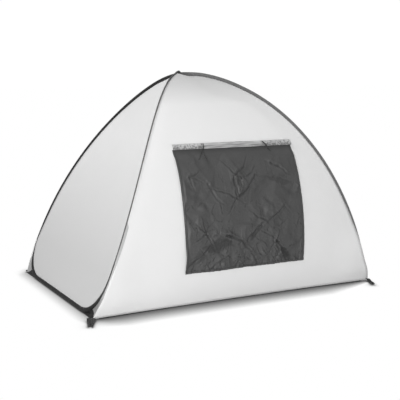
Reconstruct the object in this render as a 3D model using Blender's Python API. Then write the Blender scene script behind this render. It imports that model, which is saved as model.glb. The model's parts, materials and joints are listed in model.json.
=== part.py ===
"""Pop-up fabric tent that encloses a desktop 3D printer, standing open. Metres, +Z up, front towards -Y.

Two spring-steel hoops cross at the ridge. The left and right halves of the frame fold towards each other
about a fore-and-aft axis under the crossing, and the fabric between them follows at half the angle.
"""

import math

import bpy
import bmesh
import numpy as np

# Overall size and the run of the hoops
LENGTH = 1.200  # between the fabric corners, left to right
DEPTH = 0.784  # between the fabric corners, front to back
HEIGHT = 0.847  # middle of the hoop crossing
RIDGE_Y = 0.130  # the crossing sits behind the middle of the floor
FRONT_RISE = (0.138, -0.124, 0.371)  # how a front half arch leaves its left corner
BACK_RISE = (0.181, 0.045, 0.560)  # how a back half arch leaves its left corner
RIDGE_HEADING = math.radians(37.8)  # arch direction at the crossing, off the fore-and-aft line
RIDGE_REACH_FRONT = 0.505
RIDGE_REACH_BACK = 0.095
CROSS_LIFT = 0.008  # one hoop passes over the other by twice this
CROSS_SPAN = 0.110
HEM_BOW = 0.012  # the taut hems draw in between their corners
HEM_FADE = 0.150

# Frame
ROD_R = 0.002
SLEEVE_R = 0.0065
BAR_SLEEVE_R = 0.0095
SLEEVE_BORE = 0.0032
BAR_BORE = 0.0055
BAR_X = 0.5935
BAR_HALF = 0.252  # straight part of the bottom bar, each way from its middle
BAR_Y = 0.0
CORNER_LEAVE = 0.150  # height at which a hoop leaves the fabric edge to round its corner
CORNER_PULL = 0.42
CORNER_EASE = 0.0086  # the panels pass this far outside the hoops' rounded corners
FERRULE_R = 0.0042
FERRULE_BORE = 0.0026
FERRULE_LENGTH = 0.045
FOLD_Z = 0.8315  # axis of the fold, just under both sleeves
GAP = 0.0006

# Fabric and tape
CLOTH = 0.0010
TAPE = 0.0008
SEAM_GAP = 0.0008
HEM_R = 0.0030

# Window and its cover flap on the front panel
WINDOW_X, WINDOW_LOW, WINDOW_HIGH = 0.188, 0.178, 0.536
FILM_LAP = 0.014
TRIM_WIDTH = 0.013
FLAP_LEFT, FLAP_RIGHT = -0.252, 0.262
FLAP_LOW, FLAP_HIGH = 0.131, 0.588
HEADER_DROP = 0.020
FLAP_OFF = 0.0043
TIE_X = (-0.126, 0.134)
TIE_WIDTH, TIE_LENGTH = 0.010, 0.060

# Zipped door in the back panel
DOOR_LOW, DOOR_HIGH = 0.062, 0.585
DOOR_HALF_LOW, DOOR_HALF_HIGH = 0.300, 0.205
DOOR_ROUND = 0.055
ZIP_WIDTH = 0.013
ZIP_OFF = 0.0014
SLIDER = (0.0110, 0.0050, 0.0120)
SLIDER_X = 0.0095
PULL = (0.0060, 0.0016, 0.0330)

# Stake loops at the corners
LOOP_LENGTH, LOOP_WIDTH, LOOP_THICK = 0.088, 0.025, 0.0030

APEX = np.array([0.0, RIDGE_Y, HEIGHT])
LEFT, RIGHT = -1, 1
FRONT, BACK = -1, 1
LOOP_LEAN = {  # how far each stake loop swings sideways for one step outward
    (LEFT, FRONT): -0.42,
    (RIGHT, FRONT): -0.45,
    (LEFT, BACK): 0.75,
    (RIGHT, BACK): 0.42,
}
LOOP_ROOT = {  # where each loop is sewn on: out past the floor's end and edge
    (LEFT, FRONT): (0.006, 0.0095),
    (RIGHT, FRONT): (0.006, 0.0095),
    (LEFT, BACK): (-0.008, 0.0115),
    (RIGHT, BACK): (0.006, 0.0095),
}


def material(name, colour, roughness, metallic=0.0):
    mat = bpy.data.materials.get(name)
    if mat is None:
        mat = bpy.data.materials.new(name)
        mat.use_nodes = True
        shader = mat.node_tree.nodes["Principled BSDF"]
        shader.inputs["Base Color"].default_value = (*colour, 1.0)
        shader.inputs["Roughness"].default_value = roughness
        shader.inputs["Metallic"].default_value = metallic
    return mat


def object_from(name, bm, mat, pivot=(0, 0, 0), smooth=True):
    """A scene object with its origin at pivot, given a bmesh in world coordinates."""
    bmesh.ops.recalc_face_normals(bm, faces=bm.faces)
    bmesh.ops.translate(bm, verts=bm.verts, vec=[-c for c in pivot])
    mesh = bpy.data.meshes.new(name)
    bm.to_mesh(mesh)
    bm.free()
    for face in mesh.polygons:
        face.use_smooth = smooth
    mesh.materials.append(mat)
    obj = bpy.data.objects.new(name, mesh)
    obj.location = pivot
    bpy.context.scene.collection.objects.link(obj)
    return obj


# ---------------------------------------------------------------- hoop lines


def bezier(points, t):
    a, b, c, d = (np.asarray(p, float) for p in points)
    t = np.asarray(t, float)[:, None]
    return (1 - t) ** 3 * a + 3 * (1 - t) ** 2 * t * b + 3 * (1 - t) * t * t * c + t**3 * d


def edge_line(end, count=240):
    """The left front or back fabric edge, from its corner on the floor up to the crossing."""
    rise = FRONT_RISE if end == FRONT else BACK_RISE
    reach = RIDGE_REACH_FRONT if end == FRONT else RIDGE_REACH_BACK
    foot = np.array([-LENGTH / 2, end * DEPTH / 2, 0.0])
    near = APEX + reach * np.array([-math.sin(RIDGE_HEADING), end * math.cos(RIDGE_HEADING), 0.0])
    return bezier((foot, foot + rise, near, APEX), np.linspace(0, 1, count))


EDGE = {end: edge_line(end) for end in (FRONT, BACK)}


def edge_at(end, z):
    """(half width, y) of the fabric edge at height z."""
    line = EDGE[end]
    return -np.interp(z, line[:, 2], line[:, 0]), np.interp(z, line[:, 2], line[:, 1])


def crossing_lift(points, over):
    """Raises or lowers a hoop near the ridge, so that one passes over the other."""
    away = np.linalg.norm((points - APEX)[:, :2], axis=1) / CROSS_SPAN
    share = np.clip(1 - away, 0, 1)
    lifted = points.copy()
    lifted[:, 2] += (CROSS_LIFT if over else -CROSS_LIFT) * share * share * (3 - 2 * share)
    return lifted


def resample(points, count):
    step = np.concatenate([[0], np.cumsum(np.linalg.norm(np.diff(points, axis=0), axis=1))])
    at = np.linspace(0, step[-1], count)
    return np.stack([np.interp(at, step, points[:, k]) for k in range(3)], axis=1)


def corner_line(end, count=40):
    """The rounded lower corner of the left hoop, from the bottom bar up to where it meets the fabric edge."""
    line = EDGE[end]
    k = int(np.searchsorted(line[:, 2], CORNER_LEAVE))
    top, slope = line[k], line[k + 1] - line[k - 1]
    slope = slope / np.linalg.norm(slope)
    low = np.array([-BAR_X, BAR_Y + end * BAR_HALF, BAR_SLEEVE_R + 0.0003])
    reach = CORNER_PULL * np.linalg.norm(top - low)
    along = np.array([0.0, float(end), 0.0])
    return bezier((low, low + along * reach, top - slope * reach, top), np.linspace(0, 1, count)), k


def half_arch(end, over):
    corner, k = corner_line(end)
    return np.concatenate([corner, crossing_lift(EDGE[end][k + 1 :], over)])


def hoop_line(side):
    """One half of the frame: down the front half arch, along the bottom bar and up the back half arch."""
    front_over = side == LEFT
    down = half_arch(FRONT, front_over)[::-1]
    up = half_arch(BACK, not front_over)
    line = np.concatenate([down, up])
    return line * [-side, 1, 1]


def thinned(points, longest=0.050, turn=math.radians(6.5)):
    """The line with points kept only where it has run or turned far enough."""
    dense = resample(points, 3000)
    heading = np.gradient(dense, axis=0)
    heading /= np.linalg.norm(heading, axis=1)[:, None]
    kept = [0]
    for k in range(1, len(dense) - 4):
        bent = math.acos(min(1.0, float(heading[k] @ heading[kept[-1]])))
        if bent > turn or np.linalg.norm(dense[k] - dense[kept[-1]]) > longest:
            kept.append(k)
    return dense[[*kept, len(dense) - 1]]


HOOP = {side: thinned(hoop_line(side)) for side in (LEFT, RIGHT)}
FINE = {side: resample(HOOP[side], 2600) for side in (LEFT, RIGHT)}


def hoop_distance(point, side=LEFT):
    return float(np.min(np.linalg.norm(FINE[side] - point, axis=1)))


def sleeve_clear(point):
    """Radius of the sleeve nearest this point, plus the seam gap."""
    k = int(np.argmin(np.linalg.norm(FINE[LEFT] - point, axis=1)))
    return sleeve_radius(FINE[LEFT][k]) + SEAM_GAP


def sleeve_radius(point):
    """The sleeve is fuller round the bottom bar, where the floor's edge is sewn in with it."""
    share = np.clip((abs(point[1] - BAR_Y) - BAR_HALF + 0.02) / 0.16, 0, 1) if point[2] < 0.2 else 1.0
    share = share * share * (3 - 2 * share)
    return BAR_SLEEVE_R + (SLEEVE_R - BAR_SLEEVE_R) * share


def bore_radius(point):
    share = (BAR_SLEEVE_R - sleeve_radius(point)) / (BAR_SLEEVE_R - SLEEVE_R)
    return BAR_BORE + (SLEEVE_BORE - BAR_BORE) * share


# ---------------------------------------------------------------- swept tubes


def frames_along(path):
    """Ring axes carried along a path with no twist."""
    tangent = np.gradient(path, axis=0)
    tangent /= np.linalg.norm(tangent, axis=1)[:, None]
    across = np.cross(tangent[0], [0, 0, 1])
    across /= np.linalg.norm(across)
    out = []
    for t in tangent:
        across = across - t * (across @ t)
        across /= np.linalg.norm(across)
        out.append((t, across, np.cross(t, across)))
    return out


def rings(path, radius, sides, end_x=None):
    """One ring of points per path point. The first and last rings are slid onto the plane x = end_x."""
    rows = []
    for k, (point, (t, a, b)) in enumerate(zip(path, frames_along(path))):
        r = radius(point) if callable(radius) else radius
        turn = [2 * math.pi * i / sides for i in range(sides)]
        ring = np.array([point + r * (math.cos(u) * a + math.sin(u) * b) for u in turn])
        if end_x is not None and k in (0, len(path) - 1):
            ring = ring + np.outer((end_x - ring[:, 0]) / t[0], t)
        rows.append(ring)
    return rows


def skin(bm, rows):
    """Quads between successive rings. Returns the vertices of each ring."""
    made = [[bm.verts.new(p) for p in ring] for ring in rows]
    for low, high in zip(made, made[1:]):
        for i in range(len(low)):
            j = (i + 1) % len(low)
            bm.faces.new((low[i], low[j], high[j], high[i]))
    return made


def tube(path, radius, sides, bore=None, end_x=None):
    """A closed swept rod, or a sleeve open at both ends when it has a bore."""
    bm = bmesh.new()
    outer = skin(bm, rings(path, radius, sides, end_x))
    if bore is None:
        bm.faces.new(outer[0])
        bm.faces.new(outer[-1])
        return bm
    inner = skin(bm, rings(path, bore, sides, end_x))
    for k in (0, -1):
        for i in range(sides):
            j = (i + 1) % sides
            bm.faces.new((outer[k][i], outer[k][j], inner[k][j], inner[k][i]))
    return bm


# ---------------------------------------------------------------- sheets


def ramp(value, low, high):
    share = min(max((value - low) / (high - low), 0.0), 1.0)
    return share * share * (3 - 2 * share)


def corner_ease(x, z):
    """How far the panel stands out near its lower corners, where it passes in front of the hoop."""
    level = ramp(z, 0.012, 0.060) * (1 - ramp(z, CORNER_LEAVE - 0.004, CORNER_LEAVE + 0.060))
    return CORNER_EASE * level * ramp(abs(x), 0.40, 0.53)


def panel_y(end, x, z):
    """The front or back panel's surface: straight across, with the hem drawn in near the floor."""
    half, y = edge_at(end, z)
    fade = max(0.0, 1 - z / HEM_FADE) ** 2
    return y - end * HEM_BOW * fade * (1 - (x / (LENGTH / 2)) ** 2) + end * corner_ease(x, z)


def on_panel(end, x, z, out=0.0):
    """A point on the panel, moved out along its normal."""
    step = 0.002
    slope = (panel_y(end, x, z + step) - panel_y(end, x, max(z - step, 0))) / (z + step - max(z - step, 0))
    scale = out / math.hypot(1.0, slope)
    return np.array([x, panel_y(end, x, z) + end * scale, z - end * slope * scale])


def sheet(name, rows, mat, thickness=CLOTH, pivot=(0, 0, 0)):
    """A grid of points made into a thin closed solid, centred on the grid."""
    bm = bmesh.new()
    made = [[bm.verts.new(p) for p in row] for row in rows]
    for low, high in zip(made, made[1:]):
        for i in range(len(low) - 1):
            bm.faces.new((low[i], low[i + 1], high[i + 1], high[i]))
    obj = object_from(name, bm, mat, pivot)
    solid = obj.modifiers.new("Thickness", "SOLIDIFY")
    solid.thickness = thickness
    solid.offset = 0.0
    solid.use_even_offset = False
    return obj


def heights(low, high, count):
    """Heights that crowd together towards the ridge, where the arches flatten."""
    s = np.linspace(math.sqrt(1 - high / HEIGHT), math.sqrt(1 - low / HEIGHT), count)[::-1]
    return HEIGHT * (1 - s * s)


def panel_half(end, z):
    """How far out the front or back panel reaches at height z, clear of the sleeves."""
    half, y = edge_at(end, z)
    last = max(half - 0.080, 0.004)
    for reach in np.arange(last, half - 0.001, 0.0004):
        point = np.array([-reach, panel_y(end, -reach, z), z])
        if hoop_distance(point) < sleeve_clear(point) + CLOTH / 2:
            return last
        last = reach
    return last


def panel_rows(end, low, high, rows, columns):
    grid = []
    for z in heights(low, high, rows):
        half = panel_half(end, z)
        grid.append([on_panel(end, x, z) for x in np.linspace(-half, half, columns)])
    return grid


def end_panel_rows(rows, columns):
    """The left end panel: taut between the two half arches and the bottom bar, dished a little."""
    grid = []
    line = HOOP[LEFT]
    low = int(np.argmin(np.abs(line[:, 1] - BAR_Y) + 10 * line[:, 2]))
    front, back = line[:low][::-1], line[low:]
    corner = np.linspace(2 * BAR_SLEEVE_R + 0.0025, CORNER_LEAVE, 9)[:-1]
    for z in [*corner, *heights(CORNER_LEAVE, HEIGHT - 0.012, rows)]:
        a = np.array([np.interp(z, front[:, 2], front[:, k]) for k in range(3)])
        b = np.array([np.interp(z, back[:, 2], back[:, k]) for k in range(3)])
        ends = []
        for share in (np.arange(0, 0.5, 0.0015), np.arange(1, 0.5, -0.0015)):
            for s in share:
                point = a + (b - a) * s
                if hoop_distance(point) > sleeve_clear(point) + CLOTH:
                    break
            ends.append(s)
        s = np.linspace(*ends, columns)
        dish = 0.010 * math.sin(math.pi * z / HEIGHT)
        row = a + (b - a) * s[:, None]
        row[:, 0] += dish * np.sin(math.pi * (s - s[0]) / (s[-1] - s[0]))
        grid.append(row)
    return grid


def prism_cutter(name, outline, y_low, y_high):
    """A wire-drawn cutter: an outline in x and z, run through from y_low to y_high."""
    bm = bmesh.new()
    near = [bm.verts.new((x, y_low, z)) for x, z in outline]
    far = [bm.verts.new((x, y_high, z)) for x, z in outline]
    bm.faces.new(near)
    bm.faces.new(far[::-1])
    for i in range(len(near)):
        j = (i + 1) % len(near)
        bm.faces.new((near[i], far[i], far[j], near[j]))
    cutter = object_from(name, bm, material("cutter", (1, 0, 0), 0.5), smooth=False)
    cutter.hide_render = True
    cutter.display_type = "WIRE"
    return cutter


def cut(obj, cutter):
    boolean = obj.modifiers.new("Opening", "BOOLEAN")
    boolean.operation = "DIFFERENCE"
    boolean.object = cutter
    boolean.solver = "EXACT"


# ---------------------------------------------------------------- frame halves


def build_hoop(side):
    """Spring rod, crimped ferrule and sewn sleeve of one half of the frame."""
    word = "left" if side == LEFT else "right"
    steel = material("spring_steel", (0.42, 0.43, 0.45), 0.32, 1.0)
    dark = material("binding_tape", (0.055, 0.057, 0.060), 0.62)
    crimp = material("ferrule_brass", (0.62, 0.50, 0.28), 0.35, 1.0)
    pivot = (0.0, RIDGE_Y, FOLD_Z)
    path = HOOP[side]
    object_from(f"spring_rod_{word}", tube(path, ROD_R, 6, end_x=side * 2 * GAP), steel, pivot)
    object_from(
        f"hoop_sleeve_{word}", tube(path, sleeve_radius, 10, bore_radius, end_x=side * GAP), dark, pivot
    )
    middle = np.array([side * BAR_X, BAR_Y, BAR_SLEEVE_R + 0.0003])
    half = np.array([0, FERRULE_LENGTH / 2, 0])
    ferrule = np.array([middle - half, middle, middle + half])
    object_from(f"rod_ferrule_{word}", tube(ferrule, FERRULE_R, 12, FERRULE_BORE), crimp, pivot)


def build_end_panel(side):
    word = "left" if side == LEFT else "right"
    grey = material("end_fabric", (0.60, 0.60, 0.60), 0.72)
    rows = [np.array(row) * [-side, 1, 1] for row in end_panel_rows(17, 13)]
    sheet(f"end_panel_{word}", rows, grey, pivot=(0.0, RIDGE_Y, FOLD_Z))


def gusset_rows(end):
    """Fabric between a hoop's rounded corner and the pointed fabric corner, on the left."""
    corner, k = corner_line(end, 60)
    foot = np.array([-LENGTH / 2 + 0.008, end * (DEPTH / 2 - 0.010), 0.0055])
    grid = []
    for s in np.linspace(0.20, 0.64, 11):
        start = corner[int(round(s * 59))]
        if s < 0.45:
            share = (s - 0.20) / 0.25
            root = np.array([-BAR_X - 0.001, BAR_Y + end * (BAR_HALF + 0.055), 0.0030])
            stop = root + (foot - root) * share
        else:
            share = (s - 0.45) / 0.19
            z = foot[2] + (CORNER_LEAVE - 0.085 - foot[2]) * share
            half, y = edge_at(end, z)
            stop = np.array([-half + 0.004, y - end * 0.0035, z])
        for low in np.linspace(0, 0.9, 181):
            point = start + (stop - start) * low
            if hoop_distance(point) > sleeve_clear(point) + 0.0022:
                break
        if low < 0.85:
            grid.append([start + (stop - start) * q for q in np.linspace(low, 1, 4)])
    return grid


def build_gussets(side):
    word = "left" if side == LEFT else "right"
    grey = material("gusset_fabric", (0.34, 0.34, 0.35), 0.75)
    for end, place in ((FRONT, "front"), (BACK, "back")):
        rows = [np.array(row) * [-side, 1, 1] for row in gusset_rows(end)]
        sheet(f"corner_gusset_{place}_{word}", rows, grey, 0.0008, (0.0, RIDGE_Y, FOLD_Z))


def build_stake_loop(side, end):
    """A webbing loop for a peg: a flat tape doubled back on itself with an eye at its outer end."""
    word = ("front_" if end == FRONT else "back_") + ("left" if side == LEFT else "right")
    web = material("webbing", (0.030, 0.030, 0.032), 0.85)
    past_end, past_edge = LOOP_ROOT[side, end]
    root = np.array([side * (LENGTH / 2 + past_end), end * (DEPTH / 2 + past_edge), 0.0075])
    out = np.array([LOOP_LEAN[side, end], end * 1.0, 0.0])
    out /= np.linalg.norm(out)
    wide = np.array([-out[1], out[0], 0.0])
    drop = np.array([0, 0, -(root[2] - LOOP_THICK / 2 - 0.0004) / LOOP_LENGTH])
    bm = bmesh.new()
    taper = [(0.0, 0.5), (0.70, 0.46), (0.90, 0.40), (1.0, 0.24)]
    outline = taper + [(share, -half) for share, half in taper[::-1]]
    eye = [(0.80 + 0.10 * math.cos(u), 0.20 * math.sin(u)) for u in np.linspace(0, 2 * math.pi, 9)[:-1]]
    loops = []
    for level in (-0.5, 0.5):
        base = root + np.array([0, 0, LOOP_THICK * level])
        made = []
        for ring in (outline, eye):
            spots = [base + (out + drop) * LOOP_LENGTH * s + wide * LOOP_WIDTH * w for s, w in ring]
            made.append([bm.verts.new(spot) for spot in spots])
        loops.append(made)
    for ring in (0, 1):
        for i in range(8):
            j = (i + 1) % 8
            bm.faces.new((loops[0][ring][i], loops[0][ring][j], loops[1][ring][j], loops[1][ring][i]))
    order = eye_partners(outline, eye)
    for out_ring, in_ring in loops:
        for i in range(8):
            j = (i + 1) % 8
            face = [out_ring[i], out_ring[j], in_ring[order[j]]]
            if order[i] != order[j]:
                face.append(in_ring[order[i]])
            bm.faces.new(face)
    object_from(f"stake_loop_{word}", bm, web, tuple(root), smooth=False)


def eye_partners(outline, eye):
    """Which eye point each outline point joins to, going round both the same way."""
    first = min(range(8), key=lambda k: math.dist(outline[0], eye[k]) if eye[k][1] > 0 else 9)
    step = 1 if direction(outline) == direction(eye) else -1
    return [(first + step * i) % 8 for i in range(8)]


def direction(ring):
    total = sum(a[0] * b[1] - b[0] * a[1] for a, b in zip(ring, ring[1:] + ring[:1]))
    return total > 0


# ---------------------------------------------------------------- canopy


def build_canopy():
    white = material("silver_white_fabric", (0.83, 0.83, 0.84), 0.45)
    pivot = (0.0, RIDGE_Y, FOLD_Z)
    low = 2 * HEM_R + 0.0012
    front = sheet("front_panel", panel_rows(FRONT, low, HEIGHT - 0.0005, 27, 17), white, pivot=pivot)
    back = sheet("back_panel", panel_rows(BACK, low, HEIGHT - 0.0035, 26, 17), white, pivot=pivot)
    cut(front, prism_cutter("window_cutter", window_outline(0.0), -0.6, 0.10))
    cut(back, prism_cutter("door_cutter", door_outline(0.0), 0.16, 0.60))


def window_outline(grow, corner=0.020):
    """Rounded rectangle of the window opening, in x and z."""
    half, low, high = WINDOW_X + grow, WINDOW_LOW - grow, WINDOW_HIGH + grow
    radius = corner + max(grow, 0) * 0.6
    outline = []
    for cx, cz, start in (
        (half - radius, low + radius, -90),
        (half - radius, high - radius, 0),
        (-half + radius, high - radius, 90),
        (-half + radius, low + radius, 180),
    ):
        for a in np.radians(np.linspace(start, start + 90, 4)):
            outline.append((cx + radius * math.cos(a), cz + radius * math.sin(a)))
    return outline


def door_half(z, shrink=0.0):
    """Half width of the door opening at height z: straight raked sides and rounded upper corners."""
    high = DOOR_HIGH - shrink
    share = (z - DOOR_LOW) / (DOOR_HIGH - DOOR_LOW)
    half = DOOR_HALF_LOW + (DOOR_HALF_HIGH - DOOR_HALF_LOW) * share - shrink
    into = max(0.0, z - (high - DOOR_ROUND))
    return half - (DOOR_ROUND - math.sqrt(max(DOOR_ROUND**2 - into**2, 0.0)))


def door_outline(shrink, steps=7):
    """The door opening in x and z, going round from its lower left corner."""
    high = DOOR_HIGH - shrink
    turn = [high - DOOR_ROUND * (1 - math.sin(u)) for u in np.linspace(0, math.pi / 2, steps)]
    levels = [DOOR_LOW, 0.5 * (DOOR_LOW + turn[0]), *turn]
    side = [(door_half(z, shrink), z) for z in levels]
    return side + [(-x, z) for x, z in side[::-1]]


def build_floor():
    """Groundsheet: flat on the floor, its edge inside the hems and the bottom bars."""
    dark = material("floor_fabric", (0.060, 0.062, 0.066), 0.70)
    inner = BAR_X - BAR_SLEEVE_R - SEAM_GAP
    outline = []
    for end in (FRONT, BACK):
        xs = np.linspace(-LENGTH / 2 + 0.010, LENGTH / 2 - 0.010, 15) * (1 if end == FRONT else -1)
        for x in xs:
            bow = HEM_BOW * (1 - (x / (LENGTH / 2)) ** 2)
            outline.append((x, end * (DEPTH / 2 - bow - HEM_R - 0.0006)))
        sign = 1 if end == FRONT else -1
        for y in (-0.300, 0.300):
            outline.append((sign * inner, sign * y))
    bm = bmesh.new()
    face = bm.faces.new([bm.verts.new((x, y, 0.0)) for x, y in outline])
    lift = bmesh.ops.extrude_face_region(bm, geom=[face])
    verts = [v for v in lift["geom"] if isinstance(v, bmesh.types.BMVert)]
    bmesh.ops.translate(bm, verts=verts, vec=(0, 0, CLOTH))
    object_from("groundsheet", bm, dark, (0.0, RIDGE_Y, FOLD_Z), smooth=False)


def build_hems():
    dark = material("binding_tape", (0.055, 0.057, 0.060), 0.62)
    for end, place in ((FRONT, "front"), (BACK, "back")):
        path = []
        for x in np.linspace(-LENGTH / 2, LENGTH / 2, 25):
            path.append((x, panel_y(end, x, 0.0), HEM_R + 0.0002))
        object_from(f"hem_piping_{place}", tube(np.array(path), HEM_R, 8), dark, (0.0, RIDGE_Y, FOLD_Z))


def build_crossing_wrap():
    """Short fabric wrap that holds the two hoops together where they cross."""
    dark = material("binding_tape", (0.055, 0.057, 0.060), 0.62)
    over = np.concatenate([FINE[LEFT][:13][::-1], FINE[RIGHT][-13:][::-1]])
    path = resample(over, 7)
    object_from(
        "crossing_wrap", tube(path, SLEEVE_R + 0.0018, 14, SLEEVE_R + 0.0008), dark, (0.0, RIDGE_Y, FOLD_Z)
    )


# ---------------------------------------------------------------- window and flap


def front_grid(left, right, low, high, out, columns, rows):
    xs, zs = np.linspace(left, right, columns), np.linspace(low, high, rows)
    return [[on_panel(FRONT, x, z, out) for x in xs] for z in zs]


def build_window():
    clear = material("clear_film", (0.70, 0.74, 0.76), 0.12)
    dark = material("binding_tape", (0.055, 0.057, 0.060), 0.62)
    pivot = (0.0, RIDGE_Y, FOLD_Z)
    half, low, high = WINDOW_X + FILM_LAP, WINDOW_LOW - FILM_LAP, WINDOW_HIGH + FILM_LAP
    sheet("window_film", front_grid(-half, half, low, high, -0.0018, 5, 13), clear, 0.0006, pivot)
    half, low, high = WINDOW_X + TRIM_WIDTH, WINDOW_LOW - TRIM_WIDTH, WINDOW_HIGH + TRIM_WIDTH
    trim = sheet("window_trim", front_grid(-half, half, low, high, 0.0016, 7, 13), dark, TAPE, pivot)
    cut(trim, prism_cutter("trim_cutter", window_outline(-0.001), -0.6, 0.10))


def build_flap():
    nylon = material("flap_nylon", (0.085, 0.086, 0.090), 0.50)
    band = material("flap_header_nylon", (0.30, 0.30, 0.31), 0.38)
    seam = FLAP_HIGH - HEADER_DROP
    header = front_grid(FLAP_LEFT, FLAP_RIGHT, seam + 0.0008, FLAP_HIGH, FLAP_OFF, 5, 3)
    sheet("flap_header", header, band, CLOTH, (0.0, RIDGE_Y, FOLD_Z))
    hinge = on_panel(FRONT, 0.0, seam - 0.0008, FLAP_OFF)
    body = front_grid(FLAP_LEFT, FLAP_RIGHT, FLAP_LOW, seam - 0.0008, FLAP_OFF, 7, 15)
    sheet("window_flap", body, nylon, CLOTH, tuple(hinge))
    tape = material("tie_tape", (0.025, 0.025, 0.027), 0.80)
    for x, word in zip(TIE_X, ("left", "right")):
        top = FLAP_HIGH - 0.004
        rows = front_grid(
            x - TIE_WIDTH / 2, x + TIE_WIDTH / 2, top - TIE_LENGTH, top, FLAP_OFF + 0.0018, 2, 6
        )
        pin = on_panel(FRONT, x, top, FLAP_OFF + 0.0018)
        sheet(f"flap_tie_{word}", rows, tape, TAPE, tuple(pin))


# ---------------------------------------------------------------- door


def zip_band(name, near, far, mat, pivot):
    """Half of the zip tape, following the door opening between two insets."""
    inner, outer = door_outline(near), door_outline(far)
    rows = []
    for (xa, za), (xb, zb) in zip(resample_flat(inner, 49), resample_flat(outer, 49)):
        rows.append([on_panel(BACK, xa, za, ZIP_OFF), on_panel(BACK, xb, zb, ZIP_OFF)])
    sheet(name, rows, mat, TAPE, pivot)


def resample_flat(outline, count):
    flat = np.array([(x, 0.0, z) for x, z in outline])
    return [(p[0], p[2]) for p in resample(flat, count)]


def build_door():
    white = material("silver_white_fabric", (0.83, 0.83, 0.84), 0.45)
    tape = material("zip_tape", (0.040, 0.040, 0.043), 0.70)
    pivot = tuple(on_panel(BACK, 0.0, DOOR_LOW, 0.0))
    rows = []
    high = DOOR_HIGH - 0.0015
    corner = [high - DOOR_ROUND * (1 - math.sin(u)) for u in np.linspace(0, math.pi / 2, 7)]
    for z in [*np.linspace(DOOR_LOW + 0.0012, corner[0], 12)[:-1], *corner]:
        half = door_half(z, 0.0015)
        rows.append([on_panel(BACK, x, z) for x in np.linspace(-half, half, 9)])
    sheet("door_panel", rows, white, CLOTH, pivot)
    zip_band("zip_tape_frame", -0.0012, -0.0012 - ZIP_WIDTH, tape, (0.0, RIDGE_Y, FOLD_Z))
    zip_band("zip_tape_door", 0.0012, 0.0012 + ZIP_WIDTH, tape, pivot)


def block(centre, size, up, out):
    """An oblong with its long side along up and its thin side along out."""
    across = np.cross(out, up)
    bm = bmesh.new()
    cube = bmesh.ops.create_cube(bm, size=1.0)["verts"]
    for v in cube:
        v.co = tuple(
            np.array(centre) + across * size[0] * v.co.x + out * size[1] * v.co.y + up * size[2] * v.co.z
        )
    return bm


def build_zip_sliders():
    metal = material("zip_metal", (0.30, 0.30, 0.31), 0.35, 1.0)
    cord = material("zip_pull", (0.035, 0.035, 0.037), 0.60)
    seat = on_panel(BACK, 0.0, DOOR_HIGH, ZIP_OFF + TAPE / 2 + 0.0004)
    ahead = on_panel(BACK, 0.0, DOOR_HIGH, ZIP_OFF + TAPE / 2 + 0.0104)
    out = (ahead - seat) / np.linalg.norm(ahead - seat)
    up = np.cross([1.0, 0, 0], out)
    for side, word in ((LEFT, "left"), (RIGHT, "right")):
        middle = seat + out * SLIDER[1] / 2 + np.array([side * SLIDER_X, 0, 0])
        slider = object_from(f"zip_slider_{word}", block(middle, SLIDER, up, out), metal, tuple(middle))
        bevel = slider.modifiers.new("Rounding", "BEVEL")
        bevel.width, bevel.segments = 0.0010, 2
        pin = middle + out * (SLIDER[1] / 2 + PULL[1] / 2 + 0.0004)
        tab = pin - up * (PULL[2] - PULL[1]) / 2
        pull = object_from(f"zip_pull_{word}", block(tab, PULL, up, out), cord, tuple(pin))
        bevel = pull.modifiers.new("Rounding", "BEVEL")
        bevel.width, bevel.segments = 0.0005, 2


def clear_scene():
    for obj in list(bpy.data.objects):
        bpy.data.objects.remove(obj, do_unlink=True)


def main():
    clear_scene()
    for side in (LEFT, RIGHT):
        build_hoop(side)
        build_end_panel(side)
        build_gussets(side)
        for end in (FRONT, BACK):
            build_stake_loop(side, end)
    build_canopy()
    build_floor()
    build_hems()
    build_crossing_wrap()
    build_window()
    build_flap()
    build_door()
    build_zip_sliders()


main()
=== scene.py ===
"""Looks of the pop-up enclosure tent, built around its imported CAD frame. Metres, +Z up, front towards -Y."""

import json
import math

import bpy
import numpy as np
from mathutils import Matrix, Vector, noise
from mathutils.geometry import delaunay_2d_cdt


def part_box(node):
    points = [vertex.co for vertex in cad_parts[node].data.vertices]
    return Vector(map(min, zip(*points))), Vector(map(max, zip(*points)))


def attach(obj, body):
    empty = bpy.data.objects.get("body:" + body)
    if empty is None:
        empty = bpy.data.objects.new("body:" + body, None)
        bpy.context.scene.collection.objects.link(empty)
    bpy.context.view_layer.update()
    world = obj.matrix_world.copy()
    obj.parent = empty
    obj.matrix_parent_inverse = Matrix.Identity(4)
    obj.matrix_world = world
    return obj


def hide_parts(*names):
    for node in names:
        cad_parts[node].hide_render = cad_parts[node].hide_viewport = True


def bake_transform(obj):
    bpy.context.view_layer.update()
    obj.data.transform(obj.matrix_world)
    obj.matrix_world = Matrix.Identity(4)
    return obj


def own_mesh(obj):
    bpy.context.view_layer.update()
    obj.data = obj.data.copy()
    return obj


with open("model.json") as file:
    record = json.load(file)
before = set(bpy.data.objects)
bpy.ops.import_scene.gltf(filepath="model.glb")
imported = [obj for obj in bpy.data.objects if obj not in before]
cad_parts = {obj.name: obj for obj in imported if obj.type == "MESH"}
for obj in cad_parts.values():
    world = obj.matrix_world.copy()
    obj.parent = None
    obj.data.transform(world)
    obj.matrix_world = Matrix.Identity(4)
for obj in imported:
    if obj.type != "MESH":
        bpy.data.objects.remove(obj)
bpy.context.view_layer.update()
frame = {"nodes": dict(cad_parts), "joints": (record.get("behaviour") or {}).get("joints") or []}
JOINTS = {joint["name"]: joint for joint in frame["joints"]}

# ---------------------------------------------------------------- sizes taken from the frame

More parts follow.
